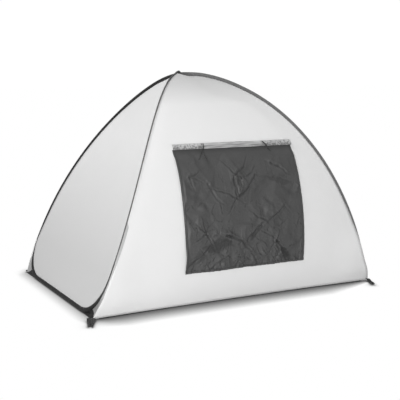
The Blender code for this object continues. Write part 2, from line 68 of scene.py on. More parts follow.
FRONT, BACK, LEFT, RIGHT = -1, 1, -1, 1
PLACE = {FRONT: "front", BACK: "back"}
SIDE = {LEFT: "left", RIGHT: "right"}
RIDGE_Y, FOLD_Z = JOINTS["frame_fold"]["pos_m"][1:]
HEM_LOW, HEM_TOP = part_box("hem_piping_front")
BAR_LOW, BAR_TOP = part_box("rod_ferrule_left")
LENGTH = 1.200
DEPTH = 0.784
HEIGHT = FOLD_Z + 0.0155
HEM_R = 0.37 * (HEM_TOP.z - HEM_LOW.z)
BAR_X = -(BAR_LOW.x + BAR_TOP.x) / 2
BAR_Z = (BAR_LOW.z + BAR_TOP.z) / 2

# The run of the arches, as the CAD model draws them
FRONT_RISE = (0.138, -0.124, 0.371)
BACK_RISE = (0.181, 0.045, 0.560)
RIDGE_HEADING = math.radians(37.8)
RIDGE_REACH = {FRONT: 0.505, BACK: 0.095}
CROSS_LIFT, CROSS_SPAN = 0.008, 0.110
BAR_HALF = 0.252
CORNER_LEAVE, CORNER_PULL = 0.150, 0.42
HEM_BOW, HEM_FADE = 0.012, 0.150
EASE_OUT = 0.0086  # the panels stand this far in front of the hoops' rounded corners
EASE_TOP = 0.300
GUSSET_TOP = 0.345
RIDGE_GAP = 0.0006

# Fabric, tape and trimmings
CLOTH = 0.0010
SLEEVE_AT = (0.10, 0.30, 0.50, 0.66, 0.79, 0.84, 0.857)  # heights at which the sleeve's fin is given
SLEEVE_HALF = {
    (FRONT, LEFT): (0.0032, 0.0030, 0.0030, 0.0031, 0.0036, 0.0040, 0.0040),
    (FRONT, RIGHT): (0.0038, 0.0046, 0.0056, 0.0064, 0.0074, 0.0078, 0.0078),
    (BACK, LEFT): (0.0036, 0.0042, 0.0048, 0.0056, 0.0070, 0.0070, 0.0056),
    (BACK, RIGHT): (0.0036, 0.0040, 0.0046, 0.0050, 0.0054, 0.0056, 0.0056),
}
SLEEVE_SHIFT = {
    (FRONT, LEFT): (0.0006, 0.0006, 0.0006, 0.0006, 0.0005, 0.0, 0.0),
    (FRONT, RIGHT): (0.0008, 0.0014, 0.0020, 0.0004, -0.0018, 0.0008, 0.0),
    (BACK, LEFT): (-0.0013, -0.0016, -0.0020, -0.0022, -0.0022, -0.0022, 0.0),
    (BACK, RIGHT): (-0.0010, -0.0010, -0.0010, -0.0010, -0.0010, 0.0, 0.0),
}
SLEEVE_ACROSS = 0.0023
BAR_OUT = 0.0076
SEAM_TUCK = 0.0005  # the cloth runs this far into the sleeve's lower edge
WINDOW_X, WINDOW_LOW, WINDOW_HIGH = 0.188, 0.178, 0.536
TRIM_WIDTH = 0.013
FLAP_LEFT, FLAP_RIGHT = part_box("flap_header")[0].x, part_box("flap_header")[1].x
FLAP_LOW, FLAP_HIGH = 0.131, 0.588
HEADER_DROP = 0.020
FLAP_OFF = 0.0070
TIE_X = (JOINTS["flap_tie_left_lift"]["pos_m"][0], JOINTS["flap_tie_right_lift"]["pos_m"][0])
DOOR_LOW, DOOR_HIGH = 0.062, 0.585
DOOR_HALF_LOW, DOOR_HALF_HIGH, DOOR_ROUND = 0.300, 0.205, 0.055
SILL_RISE, SILL_BEHIND = 0.064, 0.0040
ZIP_WIDTH = 0.013
NORMAL_REACH = 0.01  # how far off a panel its normal is taken
APEX = np.array([0.0, RIDGE_Y, HEIGHT])


# ---------------------------------------------------------------- arches and panel surfaces


def unit(vectors):
    vectors = np.asarray(vectors, float)
    return vectors / np.linalg.norm(vectors, axis=-1, keepdims=True)


def smooth(value, low, high):
    """Eases from 0 at low to 1 at high."""
    share = np.clip((np.asarray(value, float) - low) / (high - low), 0, 1)
    return share * share * (3 - 2 * share)


def run_along(path):
    """Distance run along a path at each of its points."""
    return np.concatenate([[0], np.cumsum(np.linalg.norm(np.diff(path, axis=0), axis=1))])


def sample(path, known, at):
    """Points of a path at given values of a quantity that is known at each of its points."""
    return np.stack([np.interp(at, known, path[:, k]) for k in range(3)], axis=1)


def resample(path, count):
    path = np.asarray(path, float)
    run = run_along(path)
    return sample(path, run, np.linspace(0, run[-1], count))


def bezier(points, t):
    a, b, c, d = (np.asarray(p, float) for p in points)
    t = np.asarray(t, float)[:, None]
    return (1 - t) ** 3 * a + 3 * (1 - t) ** 2 * t * b + 3 * (1 - t) * t * t * c + t**3 * d


def edge_line(end, count=400):
    """The left front or back fabric edge, from its corner on the floor up to the crossing."""
    rise = FRONT_RISE if end == FRONT else BACK_RISE
    foot = np.array([-LENGTH / 2, end * DEPTH / 2, 0.0])
    near = APEX + RIDGE_REACH[end] * np.array([-math.sin(RIDGE_HEADING), end * math.cos(RIDGE_HEADING), 0])
    return bezier((foot, foot + rise, near, APEX), np.linspace(0, 1, count))


EDGE = {end: edge_line(end) for end in (FRONT, BACK)}


def edge_at(end, z):
    """Half width and y of the fabric edge at height z."""
    line = EDGE[end]
    return -np.interp(z, line[:, 2], line[:, 0]), np.interp(z, line[:, 2], line[:, 1])


def near_crossing(points):
    """1 where the hoops cross, easing to 0 a short way off."""
    return 1 - smooth(np.linalg.norm((points - APEX)[..., :2], axis=-1), 0, CROSS_SPAN)


def corner_line(end, count=60):
    """The rounded lower corner of the left hoop, from the bottom bar up to the fabric edge."""
    line = EDGE[end]
    k = int(np.searchsorted(line[:, 2], CORNER_LEAVE))
    top, slope = line[k], unit(line[k + 1] - line[k - 1])
    low = np.array([-BAR_X, end * BAR_HALF, BAR_Z])
    reach = CORNER_PULL * np.linalg.norm(top - low)
    along = np.array([0.0, float(end), 0.0])
    return bezier((low, low + along * reach, top - slope * reach, top), np.linspace(0, 1, count)), k


def half_arch(end, over):
    """The left half arch from the bottom bar to the crossing, where it passes over or under the other."""
    corner, k = corner_line(end)
    rising = EDGE[end][k + 1 :]
    lift = np.array([0, 0, CROSS_LIFT if over else -CROSS_LIFT])
    return np.concatenate([corner, rising + lift * near_crossing(rising)[:, None]])


def hoop_line(side, count=420):
    """One half of the frame: down its front half arch, along the bottom bar and up its back half arch."""
    over = side == LEFT
    line = np.concatenate([half_arch(FRONT, over)[::-1], half_arch(BACK, not over)])
    return resample(line * [-side, 1, 1], count)


HOOP = {side: hoop_line(side) for side in (LEFT, RIGHT)}


def panel_y(end, x, z):
    """The front or back panel: straight across, its hem drawn in, its lower corners in front of the hoops."""
    y = edge_at(end, z)[1]
    fade = np.clip(1 - z / HEM_FADE, 0, 1) ** 2
    ease = EASE_OUT * smooth(z, 0.0, 0.060) * (1 - smooth(z, CORNER_LEAVE, EASE_TOP))
    ease = ease * smooth(np.abs(x), 0.40, 0.53)
    return y - end * HEM_BOW * fade * (1 - (x / (LENGTH / 2)) ** 2) + end * ease


def reach_at(end, side, z):
    """Half width of the panel at height z on one side; the front right corner is drawn out to a point."""
    half = edge_at(end, z)[0]
    return half + 0.0110 * (1 - smooth(z, 0.02, 0.13)) if (end, side) == (FRONT, RIGHT) else half


def on_panel(end, x, z, out=0.0):
    """Points on the panel, moved out along its normal. Arrays of one shape in, one more axis out."""
    x, z, out = np.broadcast_arrays(np.asarray(x, float), np.asarray(z, float), np.asarray(out, float))
    step = 0.002
    low = np.maximum(z - step, 0)
    slope = (panel_y(end, x, z + step) - panel_y(end, x, low)) / (z + step - low)
    scale = out / np.sqrt(1 + slope**2)
    return np.stack([x, panel_y(end, x, z) + end * scale, z - end * slope * scale], axis=-1)


def fin_axis(points):
    """The way the sleeves' fins stand off the cloth at each point, out of the room."""
    middle = np.zeros_like(points)
    middle[..., 1] = 0.12 - 0.9 * np.minimum(points[..., 1], 0) - 0.45 * np.maximum(points[..., 1], 0)
    middle[..., 2] = 0.25
    return unit(points - middle)


def seam_depth(end, points):
    """How far inside the hoop the cloth meets the sleeve's seam."""
    x, z = points[..., 0], points[..., 2]
    left, right = (
        np.interp(z, SLEEVE_AT, np.subtract(SLEEVE_HALF[end, side], SLEEVE_SHIFT[end, side]) - SEAM_TUCK)
        for side in (LEFT, RIGHT)
    )
    share = 0.5 + 0.5 * np.tanh(x / 0.03)
    return (left * (1 - share) + right * share) * smooth(z, 0.12, 0.25)


def drawn_in(end, points):
    """Panel points drawn in to the sleeves' seams near the arches, over one hoop and under the other."""
    x, z = points[..., 0], points[..., 2]
    width = 0.085 - 0.035 * end * np.tanh(x / 0.03) + 0.45 * smooth(z, 0.72, 0.84)
    share = 1 - smooth(edge_at(end, z)[0] - np.abs(x), 0, width)
    depth = seam_depth(end, points) - CROSS_LIFT * near_crossing(points) * np.tanh(end * x / 0.02)
    return points - fin_axis(points) * (share * depth)[..., None]


def crowded(low, high, count):
    """Heights that crowd together towards the ridge, where the arches flatten."""
    s = np.linspace(math.sqrt(1 - high / HEIGHT), math.sqrt(1 - low / HEIGHT), count)[::-1]
    return HEIGHT * (1 - s * s)


def upright(x, z):
    """Points with y at 0, from matching arrays of x and z."""
    return np.stack([x, 0 * x, z], axis=-1)


def wander(points, size, seed=0.0):
    """Smooth noise from -1 to 1 at each point, with features of the given size."""
    flat = np.asarray(points, float).reshape(-1, 3) / size + seed
    return np.array([noise.noise(Vector(p)) for p in flat]).reshape(np.shape(points)[:-1])


# ---------------------------------------------------------------- meshes


def piece(name, verts, faces, mat, cloth, shade=True, fold=None):
    """A mesh object turned outward. cloth places vertices in the weave, in metres; fold darkens them as
    painted shade.
    """
    verts = np.asarray(verts, float)
    fans = [(f[0], f[k], f[k + 1]) for f in faces for k in range(1, len(f) - 1)]
    corner = verts[np.array(fans)]
    volume = np.einsum("ij,ij->i", corner[:, 0], np.cross(corner[:, 1], corner[:, 2])).sum()
    if volume < 0:
        faces = [tuple(reversed(f)) for f in faces]
    mesh = bpy.data.meshes.new(name)
    mesh.from_pydata(verts.tolist(), [], [tuple(int(v) for v in f) for f in faces])
    mesh.polygons.foreach_set("use_smooth", [shade] * len(mesh.polygons))
    weave = mesh.attributes.new("cloth", "FLOAT_VECTOR", "POINT")
    weave.data.foreach_set("vector", np.asarray(cloth, np.float32).ravel())
    if fold is not None:
        depth = mesh.attributes.new("fold", "FLOAT", "POINT")
        depth.data.foreach_set("value", np.asarray(fold, np.float32).ravel())
    mesh.materials.append(mat)
    obj = bpy.data.objects.new(name, mesh)
    bpy.context.scene.collection.objects.link(obj)
    return obj


def arc_lengths(grid, axis):
    step = np.linalg.norm(np.diff(grid, axis=axis), axis=2)
    zero = np.zeros_like(np.take(step, [0], axis=axis))
    return np.cumsum(np.concatenate([zero, step], axis=axis), axis=axis)


def sheet(name, grid, mat, thickness=CLOTH, drop=None, fold=None):
    """A closed sheet of cloth from a grid of points. drop marks the cells left out for an opening."""
    grid = np.asarray(grid, float)
    rows, cols = grid.shape[:2]
    normal = unit(np.cross(np.gradient(grid, axis=1), np.gradient(grid, axis=0)))
    i, j = np.meshgrid(np.arange(rows - 1), np.arange(cols - 1), indexing="ij")
    first = (i * cols + j)[~drop] if drop is not None else (i * cols + j).ravel()
    quads = np.stack([first, first + 1, first + cols + 1, first + cols], axis=1)
    edges = np.concatenate([quads[:, [k, (k + 1) % 4]] for k in range(4)])
    total = rows * cols
    code, back = edges[:, 0] * total + edges[:, 1], edges[:, 1] * total + edges[:, 0]
    rim = edges[~np.isin(code, back)]
    walls = np.stack([rim[:, 1], rim[:, 0], rim[:, 0] + total, rim[:, 1] + total], axis=1)
    faces = np.concatenate([quads, quads[:, ::-1] + total, walls])
    used, faces = np.unique(faces, return_inverse=True)
    faces = faces.reshape(-1, 4)
    across = arc_lengths(grid, 1)
    across -= across[:, -1:] / 2
    cloth = np.stack([across, arc_lengths(grid, 0), np.zeros((rows, cols))], axis=2).reshape(-1, 3)
    half = normal * thickness / 2
    verts = np.concatenate([(grid + half).reshape(-1, 3), (grid - half).reshape(-1, 3)])
    if fold is not None:
        fold = np.tile(fold.ravel(), 2)[used]
    return piece(name, verts[used], faces, mat, np.concatenate([cloth, cloth])[used], fold=fold)


def loft(name, rings, mat, closed=False, shade=True):
    """A closed body through successive rings of points, capped at both ends unless it closes on itself."""
    rings = np.asarray(rings, float)
    count, sides = rings.shape[:2]
    verts = rings.reshape(-1, 3)
    spans = count if closed else count - 1
    faces = []
    for k in range(spans):
        low, high = k * sides, ((k + 1) % count) * sides
        faces += [(low + i, low + (i + 1) % sides, high + (i + 1) % sides, high + i) for i in range(sides)]
    if not closed:
        faces.append(tuple(range(sides))[::-1])
        faces.append(tuple((count - 1) * sides + i for i in range(sides)))
    run = arc_lengths(rings, 0)[:, :1] * np.ones((1, sides))
    turn = arc_lengths(rings, 1)
    cloth = np.stack([run, turn, np.zeros((count, sides))], axis=2).reshape(-1, 3)
    return piece(name, verts, faces, mat, cloth, shade)


def squared_turn(steps, power):
    """Cosines and sines once round a circle; a power under 1 squares it off."""
    turn = np.linspace(0, 2 * math.pi, steps, endpoint=False)
    return (np.sign(w) * np.abs(w) ** power for w in (np.cos(turn), np.sin(turn)))


def ring_round(path, outward, half_out, half_across, shift=0.0, sides=20, power=1.0):
    """Oval rings along a path, their long axis along the outward direction at each point."""
    path = np.asarray(path, float)
    tangent = unit(np.gradient(path, axis=0))
    out = unit(outward - tangent * np.sum(outward * tangent, axis=1)[:, None])
    across = np.cross(tangent, out)
    c, s = squared_turn(sides, power)
    long, wide, off = (np.broadcast_to(v, len(path))[:, None] for v in (half_out, half_across, shift))
    along_out, along_across = (off + long * c)[..., None], (wide * s)[..., None]
    return path[:, None] + out[:, None] * along_out + across[:, None] * along_across


def stitch_row(name, path, normal, mat=None, pitch=0.0042, length=0.0030, radius=0.00035):
    """Separate stitches lying on a surface along a path, each a small spindle half sunk in the cloth."""
    run = run_along(path)
    at = np.arange(pitch, run[-1] - pitch, pitch)
    middle, up = sample(path, run, at), unit(sample(normal, run, at))
    ahead = unit(np.gradient(middle, axis=0))
    side = np.cross(ahead, up)
    belt = [middle + side * radius, middle + up * radius, middle - side * radius, middle - up * radius]
    verts = np.stack([middle - ahead * length / 2, *belt, middle + ahead * length / 2], axis=1).reshape(-1, 3)
    faces = []
    for base in range(0, len(verts), 6):
        for i in range(4):
            a, b = base + 1 + i, base + 1 + (i + 1) % 4
            faces += [(base, b, a), (base + 5, a, b)]
    return piece(name, verts, faces, mat or THREAD_DARK, verts, shade=False)


def panel_stitches(name, end, x, z, lift, mat=None):
    """A row of stitches along a line on the front or back panel."""
    seat = on_panel(end, x, z, lift)
    return stitch_row(name, seat, on_panel(end, x, z, lift + NORMAL_REACH) - seat, mat)


# ---------------------------------------------------------------- how pieces follow the frame

FOLD_SPREAD = math.atan2(BAR_X, FOLD_Z - BAR_Z)


def label(node=None):
    """Hides the CAD node that a piece stands for, if it stands for one."""
    if node:
        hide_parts(node)


def ride(obj, body, node=None):
    """A piece that moves whole with its body."""
    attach(obj, body)
    label(node)


def on_canopy(obj, node=None, body="canopy"):
    """A trimming that keeps its own body and a mesh of its own."""
    ride(obj, body, node)
    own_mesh(obj)


def cross_fold(obj, node=None, share=None):
    """Cloth between the frame halves, its transform baked into its mesh and its CAD node hidden."""
    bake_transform(obj)
    if share is None:
        x, _, z = np.array([v.co for v in obj.data.vertices]).T
        angle = np.arctan2(x, np.maximum(FOLD_Z - z, 0.004))
        share = np.clip(0.5 + angle / (2 * FOLD_SPREAD), 0, 1)
    label(node)


# ---------------------------------------------------------------- materials


def new_material(name):
    mat = bpy.data.materials.new(name)
    mat.use_nodes = True
    return mat, mat.node_tree, mat.node_tree.nodes["Principled BSDF"]


def add(tree, kind, inputs=None, **settings):
    made = tree.nodes.new("ShaderNode" + kind)
    for key, value in settings.items():
        setattr(made, key, value)
    for key, value in (inputs or {}).items():
        if isinstance(value, bpy.types.NodeSocket):
            tree.links.new(value, made.inputs[key])
        else:
            made.inputs[key].default_value = value
    return made


def maths(tree, operation, a, b=0.0):
    return add(tree, "Math", {0: a, 1: b}, operation=operation).outputs[0]


def mix(tree, factor, a, b):
    return add(tree, "Mix", {0: factor, 6: a, 7: b}, data_type="RGBA").outputs[2]


def map_range(tree, value, from_min, from_max, to_min=0.0, to_max=1.0):
    ends = {"From Min": from_min, "From Max": from_max, "To Min": to_min, "To Max": to_max}
    return add(tree, "MapRange", {"Value": value, **ends}).outputs[0]


def grey(value):
    return (value, value, value, 1.0)


def scaled(colour, share):
    return tuple(min(c * share, 1.0) for c in colour[:3]) + (1.0,)


def woven(tree, where, pitch):
    """Height of a plain weave, 0 to 1, with threads at the given pitch."""
    scale = math.pi / 10 / pitch
    wave = {"Vector": where, "Scale": scale}
    warp, weft = (add(tree, "TexWave", wave, bands_direction=way).outputs["Color"] for way in "XY")
    return maths(tree, "MULTIPLY", warp, weft)


def position(tree):
    return add(tree, "SeparateXYZ", {0: add(tree, "NewGeometry").outputs["Position"]}).outputs


def painted_light_share(tree, axis, low, high, clear_low=0.0, clear_high=0.0):
    """How much painted light or shade the cloth takes, easing along one axis of the tent and, if asked, kept
    off its lowest part.
    """
    place = position(tree)
    share = map_range(tree, place[axis], low, high)
    if clear_high:
        share = maths(tree, "MULTIPLY", share, map_range(tree, place["Z"], clear_low, clear_high))
    return share


def fabric(
    name, colour, roughness, sheen=0.15, pitch=0.0006, relief=0.35, blotch=0.05, crease=0.0, folds=0.0,
    gloss=0.5, painted_light=None,
):
    """Woven cloth: thread relief, cloudy colour, slubs and, when asked, creases, painted shade in folds and
    painted light or shade along the tent.
    """
    mat, tree, shader = new_material(name)
    where = add(tree, "Attribute", attribute_name="cloth").outputs["Vector"]
    clouds = add(tree, "TexNoise", {"Vector": where, "Scale": 14.0, "Detail": 5.0}).outputs["Fac"]
    slubs = add(tree, "TexNoise", {"Vector": where, "Scale": 420.0, "Detail": 2.0}).outputs["Fac"]
    cloud_tone = maths(tree, "MULTIPLY", maths(tree, "SUBTRACT", clouds, 0.5), 2 * blotch)
    slub_tone = maths(tree, "MULTIPLY", maths(tree, "SUBTRACT", slubs, 0.5), blotch)
    tone = maths(tree, "ADD", maths(tree, "ADD", cloud_tone, slub_tone), 0.5)
    dyed = mix(tree, tone, scaled(colour, 0.55), scaled(colour, 1.45))
    # Painted shade: the fold attribute darkens the cloth in creases, hollows and corners
    if folds:
        depth = add(tree, "Attribute", attribute_name="fold").outputs["Fac"]
        dyed = mix(tree, maths(tree, "MULTIPLY", depth, folds), dyed, scaled(colour, 0.15))
    # Painted light and shade: the colour eases towards a set grey along one axis of the tent
    if painted_light:
        painted_tone, *along = painted_light
        dyed = mix(tree, painted_light_share(tree, *along), dyed, grey(painted_tone))
    tree.links.new(dyed, shader.inputs["Base Color"])
    rough = map_range(tree, clouds, 0, 1, roughness - 0.06, roughness + 0.06)
    tree.links.new(rough, shader.inputs["Roughness"])
    shader.inputs["Specular IOR Level"].default_value = gloss
    shader.inputs["Sheen Weight"].default_value = sheen
    shader.inputs["Sheen Roughness"].default_value = 0.4
    thread = {"Height": woven(tree, where, pitch), "Strength": relief, "Distance": pitch * 0.3}
    last = add(tree, "Bump", thread).outputs["Normal"]
    if crease:
        veins = add(tree, "TexNoise", {"Vector": where, "Scale": 55.0, "Detail": 6.0, "Roughness": 0.62})
        fold = maths(tree, "ABSOLUTE", maths(tree, "SUBTRACT", veins.outputs["Fac"], 0.5))
        ridge = {"Height": fold, "Strength": 0.9, "Distance": crease, "Normal": last}
        last = add(tree, "Bump", ridge).outputs["Normal"]
    tree.links.new(last, shader.inputs["Normal"])
    return mat


def plain(name, colour, roughness, metallic=0.0):
    """Metal or moulded plastic with a fine cast grain and cloudy gloss."""
    mat, tree, shader = new_material(name)
    where = add(tree, "TexCoord").outputs["Object"]
    fine = add(tree, "TexNoise", {"Vector": where, "Scale": 900.0, "Detail": 3.0}).outputs["Fac"]
    wide = add(tree, "TexNoise", {"Vector": where, "Scale": 60.0, "Detail": 3.0}).outputs["Fac"]
    tree.links.new(mix(tree, wide, scaled(colour, 0.75), colour), shader.inputs["Base Color"])
    rough = map_range(tree, wide, 0, 1, roughness - 0.08, roughness + 0.08)
    tree.links.new(rough, shader.inputs["Roughness"])
    shader.inputs["Metallic"].default_value = metallic
    bump = add(tree, "Bump", {"Height": fine, "Strength": 0.25, "Distance": 0.0002})
    tree.links.new(bump.outputs["Normal"], shader.inputs["Normal"])
    return mat


def clear_film():
    """Flexible clear sheet: see-through and glossy, with a faint haze."""
    mat = plain("clear_film", grey(0.85), 0.12)
    shader = mat.node_tree.nodes["Principled BSDF"]
    for name, value in (("Transmission Weight", 0.75), ("Alpha", 0.45), ("IOR", 1.45)):
        shader.inputs[name].default_value = value
    return mat


# Painted shade: the white cloth greys towards the ridge, where it faces up
WHITE = fabric(
    "white_satin_cloth", grey(0.80), 0.46, sheen=0.25, pitch=0.0005, relief=0.25, blotch=0.02,
    painted_light=(0.50, "Z", 0.73, 0.87),
)
# Painted shade: the end cloth darkens towards the floor
GREY = fabric("grey_end_cloth", grey(0.68), 0.62, relief=0.3, blotch=0.03, painted_light=(0.51, "Z", 0.60, 0.15))
# Painted shade: the gusset cloth is a darker copy of the grey end cloth, and folds darkens it further
SHADE = fabric("shaded_gusset_cloth", grey(0.46), 0.66, folds=0.5, pitch=0.0006, blotch=0.05, crease=0.0012)
DARK = fabric(
    "dark_floor_cloth", grey(0.018), 0.70, sheen=0.03, gloss=0.2, pitch=0.0009, relief=0.6, blotch=0.10
)
# Painted highlight: the tape is a lighter grey on the front half of the tent, above the floor
BINDING = fabric(
    "dark_binding_tape", grey(0.016), 0.70, sheen=0.03, pitch=0.0008, relief=0.6, blotch=0.12, gloss=0.18,
    painted_light=(0.115, "Y", 0.165, 0.075, 0.03, 0.22),
)
# Painted shade: folds darkens the nylon along its creases and sunk patches
NYLON = fabric(
    "crumpled_nylon", grey(0.062), 0.56, sheen=0.08, pitch=0.0004, relief=0.2, blotch=0.16, crease=0.0008,
    folds=0.85, gloss=0.4,
)
# Painted shade and sheen: folds darkens the header by its shade attribute
HEADER = fabric(
    "header_nylon", grey(0.44), 0.40, sheen=0.3, pitch=0.0004, relief=0.2, blotch=0.5, crease=0.0030,
    folds=0.75,
)
WEBBING = fabric("black_webbing", grey(0.014), 0.75, gloss=0.2, pitch=0.0016, relief=0.9, blotch=0.12)
TIE = fabric("black_tie_tape", grey(0.018), 0.70, pitch=0.0007, relief=0.6, blotch=0.12)
ZIP_TAPE = fabric("zip_tape", grey(0.028), 0.66, pitch=0.0006, relief=0.7, blotch=0.12)
THREAD_DARK = plain("dark_thread", grey(0.05), 0.7)
THREAD_LIGHT = plain("light_thread", grey(0.55), 0.7)
COIL = plain("zip_coil", grey(0.030), 0.40)
METAL = plain("dark_zip_metal", grey(0.22), 0.34, metallic=1.0)
PULL = plain("zip_pull_plastic", grey(0.035), 0.5)
STEEL = plain("spring_steel", grey(0.42), 0.30, metallic=1.0)
BRASS = plain("ferrule_brass", (0.58, 0.44, 0.20, 1.0), 0.34, metallic=1.0)
FILM = clear_film()


# ---------------------------------------------------------------- hoops, end panels and gussets


def lower_share(path):
    """1 along the bottom bar, easing to 0 up the rounded corners."""
    return 1 - smooth(path[:, 2], 0.016, 0.125)


def build_sleeve(side):
    """Sewn fabric sleeve over the spring rod: a thin fin up the arches, fuller along the floor."""
    word, path = SIDE[side], HOOP[side]
    path[0, 0] = path[-1, 0] = side * RIDGE_GAP
    bar = lower_share(path)
    pucker = 1 + 0.07 * wander(path, 0.011, 3.0) + 0.05 * wander(path, 0.035, 9.0)
    fronts = np.arange(len(path)) < np.argmin(np.abs(path[:, 1]))
    fin, shift = (
        np.where(fronts, *(np.interp(path[:, 2], SLEEVE_AT, table[end, side]) for end in (FRONT, BACK)))
        for table in (SLEEVE_HALF, SLEEVE_SHIFT)
    )
    over = near_crossing(path) * (fronts == (side == LEFT))
    under = near_crossing(path) * (fronts != (side == LEFT))
    outer, inner = fin + shift - 0.0014 * over + 0.0040 * under, shift - fin
    out = (outer - inner) / 2 * (1 - bar) + BAR_OUT * bar
    across = (SLEEVE_ACROSS * (1 - bar) + BAR_OUT * bar) * np.where(bar > 0, pucker, np.maximum(pucker, 0.94))
    shift = (outer + inner) / 2 * (1 - bar)
    outward = fin_axis(path)
    seat = path - np.array([0, 0, 1.0]) * (0.0022 * bar)[:, None]
    rings = ring_round(seat, outward, out, across, shift, sides=20, power=0.9)
    rings[..., 2] = np.maximum(rings[..., 2], 0.0006)
    rings[[0, -1], :, 0] = side * RIDGE_GAP
    sleeve = loft(f"hoop_sleeve_{word}_cloth", rings, BINDING)
    ride(sleeve, f"{word}_frame", f"hoop_sleeve_{word}")
    tangent = unit(np.gradient(path, axis=0))
    out_dir = unit(outward - tangent * np.sum(outward * tangent, axis=1)[:, None])
    flank = np.cross(tangent, out_dir)
    for face, sign in (("inner", -1), ("outer", 1)):
        line = seat + out_dir * (shift - 0.45 * out)[:, None] + flank * (sign * across * 0.90)[:, None]
        row = stitch_row(f"sleeve_stitches_{word}_{face}", line[6:-6], (flank * sign)[6:-6])
        ride(row, f"{word}_frame")


def build_end_panel(side):
    """Taut end panel: its edges run inside the sleeves, and it dishes inward a little between them."""
    path, word = HOOP[side], SIDE[side]
    lowest = int(np.argmin(np.abs(path[:, 1])))
    halves = ((FRONT, path[: lowest + 1][::-1]), (BACK, path[lowest:]))
    levels = np.concatenate([
        np.linspace(BAR_Z, CORNER_LEAVE, 26)[:-1],
        crowded(CORNER_LEAVE, HEIGHT - 0.001, 48),
    ])
    edges = []
    for end, half in halves:
        rising = np.maximum.accumulate(half[:, 2])
        climb = (rising[-1] - BAR_Z) / (levels[-1] - BAR_Z)
        spots = sample(half, rising, BAR_Z + (levels - BAR_Z) * climb + 1e-7)
        edges.append((spots - fin_axis(spots) * seam_depth(end, spots)[:, None])[:, None])
    s = np.linspace(0, 1, 49)
    grid = edges[0] + (edges[1] - edges[0]) * s[None, :, None]
    bow = np.sin(math.pi * np.minimum(levels / HEIGHT, 1.0))[:, None]
    grid[..., 0] -= side * 0.011 * bow * np.sin(math.pi * s) ** 0.8
    pull = np.sin(math.pi * s)[None] * smooth(grid[..., 2], 0.02, 0.10)
    grid[..., 0] += 0.0016 * pull * wander(grid * [1, 1, 0.5], 0.16, 2.0)
    panel = sheet(f"end_panel_{word}_cloth", grid[:, ::-1] if side == LEFT else grid, GREY)
    ride(panel, f"{word}_frame", f"end_panel_{word}")


def gusset_lap(end, side, z):
    """How far the gusset is sewn over the panel beside the hoop; widest on the front left."""
    widest = {(FRONT, LEFT): 0.012, (FRONT, RIGHT): 0.003}.get((end, side), 0.006)
    return widest * smooth(z, 0.10, 0.28) * (1 - smooth(z, GUSSET_TOP - 0.03, GUSSET_TOP))


def build_gusset(side, end):
    """Slack cloth from a hoop's rounded corner to the pointed fabric corner: dark floor, and a grey side in a
    darker copy of the end cloth as painted shade.
    """
    corner, k = corner_line(end)
    above = EDGE[end][k + 1 :]
    above = above[above[:, 2] < GUSSET_TOP]
    count, turn_at, rows = 96, 21, 17
    hoop = resample(np.concatenate([corner, above]) * [-side, 1, 1], count)
    foot = np.array([side * (LENGTH / 2 - 0.001), end * (DEPTH / 2 - 0.001), 0.0016])
    root = np.array([side * (BAR_X + 0.004), end * (BAR_HALF + 0.012), 0.0012])
    floor = root + (foot - root) * (np.linspace(0, 1, turn_at)[:, None] ** 0.8)
    z = foot[2] + (GUSSET_TOP - foot[2]) * np.linspace(0, 1, count - turn_at) ** 1.3
    half, off = reach_at(end, side, z), 0.0014 * smooth(z, 0.02, 0.08)
    edge, lapped = (
        np.concatenate([floor, drawn_in(end, on_panel(end, side * reach, z, off))])
        for reach in (half, half - gusset_lap(end, side, z))
    )
    s = np.linspace(0, 1, rows)[:, None]
    along = np.linspace(0, 1, count)[None]
    grid = hoop[None] + (edge - hoop)[None] * s[..., None]
    width = np.linalg.norm(edge - hoop, axis=1)[None] * np.sin(math.pi * s) * smooth(along, 0, 0.15)
    around = np.stack([along * 11 + s * 0.8, s * 1.2 + 0 * along, 0 * s * along], axis=2)
    fan = wander(around, 1.0, 5.0 + end)
    grid[..., 0] -= side * width * (0.16 - 0.12 * fan)
    grid[..., 2] = np.maximum(grid[..., 2] - 0.05 * width * (1 - along), 0.0012)
    over = edge[None] + (lapped - edge)[None] * np.linspace(0.2, 1, 5)[:, None, None]
    grid = np.concatenate([grid, over])
    name = f"corner_gusset_{PLACE[end]}_{SIDE[side]}"
    if (side == LEFT) == (end == FRONT):
        grid = grid[::-1]
    for part, cols, mat, node in (
        ("floor", grid[:, : turn_at + 1], DARK, None),
        ("side", grid[:, turn_at:], SHADE, name),
    ):
        # Painted shade: the fold attribute darkens the side towards the floor
        gusset = sheet(f"{name}_{part}", cols, mat, 0.0008, fold=1 - smooth(cols[..., 2], 0.01, 0.16))
        ride(gusset, f"{SIDE[side]}_frame", node)


# ---------------------------------------------------------------- front and back panels


def door_half(z, shrink=0.0):
    high = DOOR_HIGH - shrink
    half = DOOR_HALF_LOW + (DOOR_HALF_HIGH - DOOR_HALF_LOW) * (z - DOOR_LOW) / (DOOR_HIGH - DOOR_LOW) - shrink
    into = np.clip(z - (high - DOOR_ROUND), 0, DOOR_ROUND)
    return half - (DOOR_ROUND - np.sqrt(DOOR_ROUND**2 - into**2))


def door_levels(low, high, straight, turned):
    """Heights up the door's side, closer together round its top corner."""
    turn = high - DOOR_ROUND * (1 - np.sin(np.linspace(0, math.pi / 2, turned)))
    return np.concatenate([np.linspace(low, turn[0], straight)[:-1], turn])


def opening_half(end, z):
    """Where the middle columns of the panel's grid run: along the window's or door's side, then tapering."""
    half = edge_at(end, z)[0]
    if end == FRONT:
        return np.minimum(WINDOW_X, 0.5 * half)
    top = 0.52 * edge_at(end, DOOR_HIGH)[0]
    side = door_half(np.clip(z, DOOR_LOW, DOOR_HIGH))
    return np.where(z <= DOOR_HIGH, side, np.minimum(top, 0.52 * half))


def panel_levels(low, high, end):
    inside = np.linspace(low, high, 41) if end == FRONT else door_levels(low, high, 32, 13)
    under = np.linspace(HEM_R, low, 16 if end == FRONT else 8)[:-1]
    return np.concatenate([under, inside, crowded(high, HEIGHT - 0.00004, 34)[1:]])


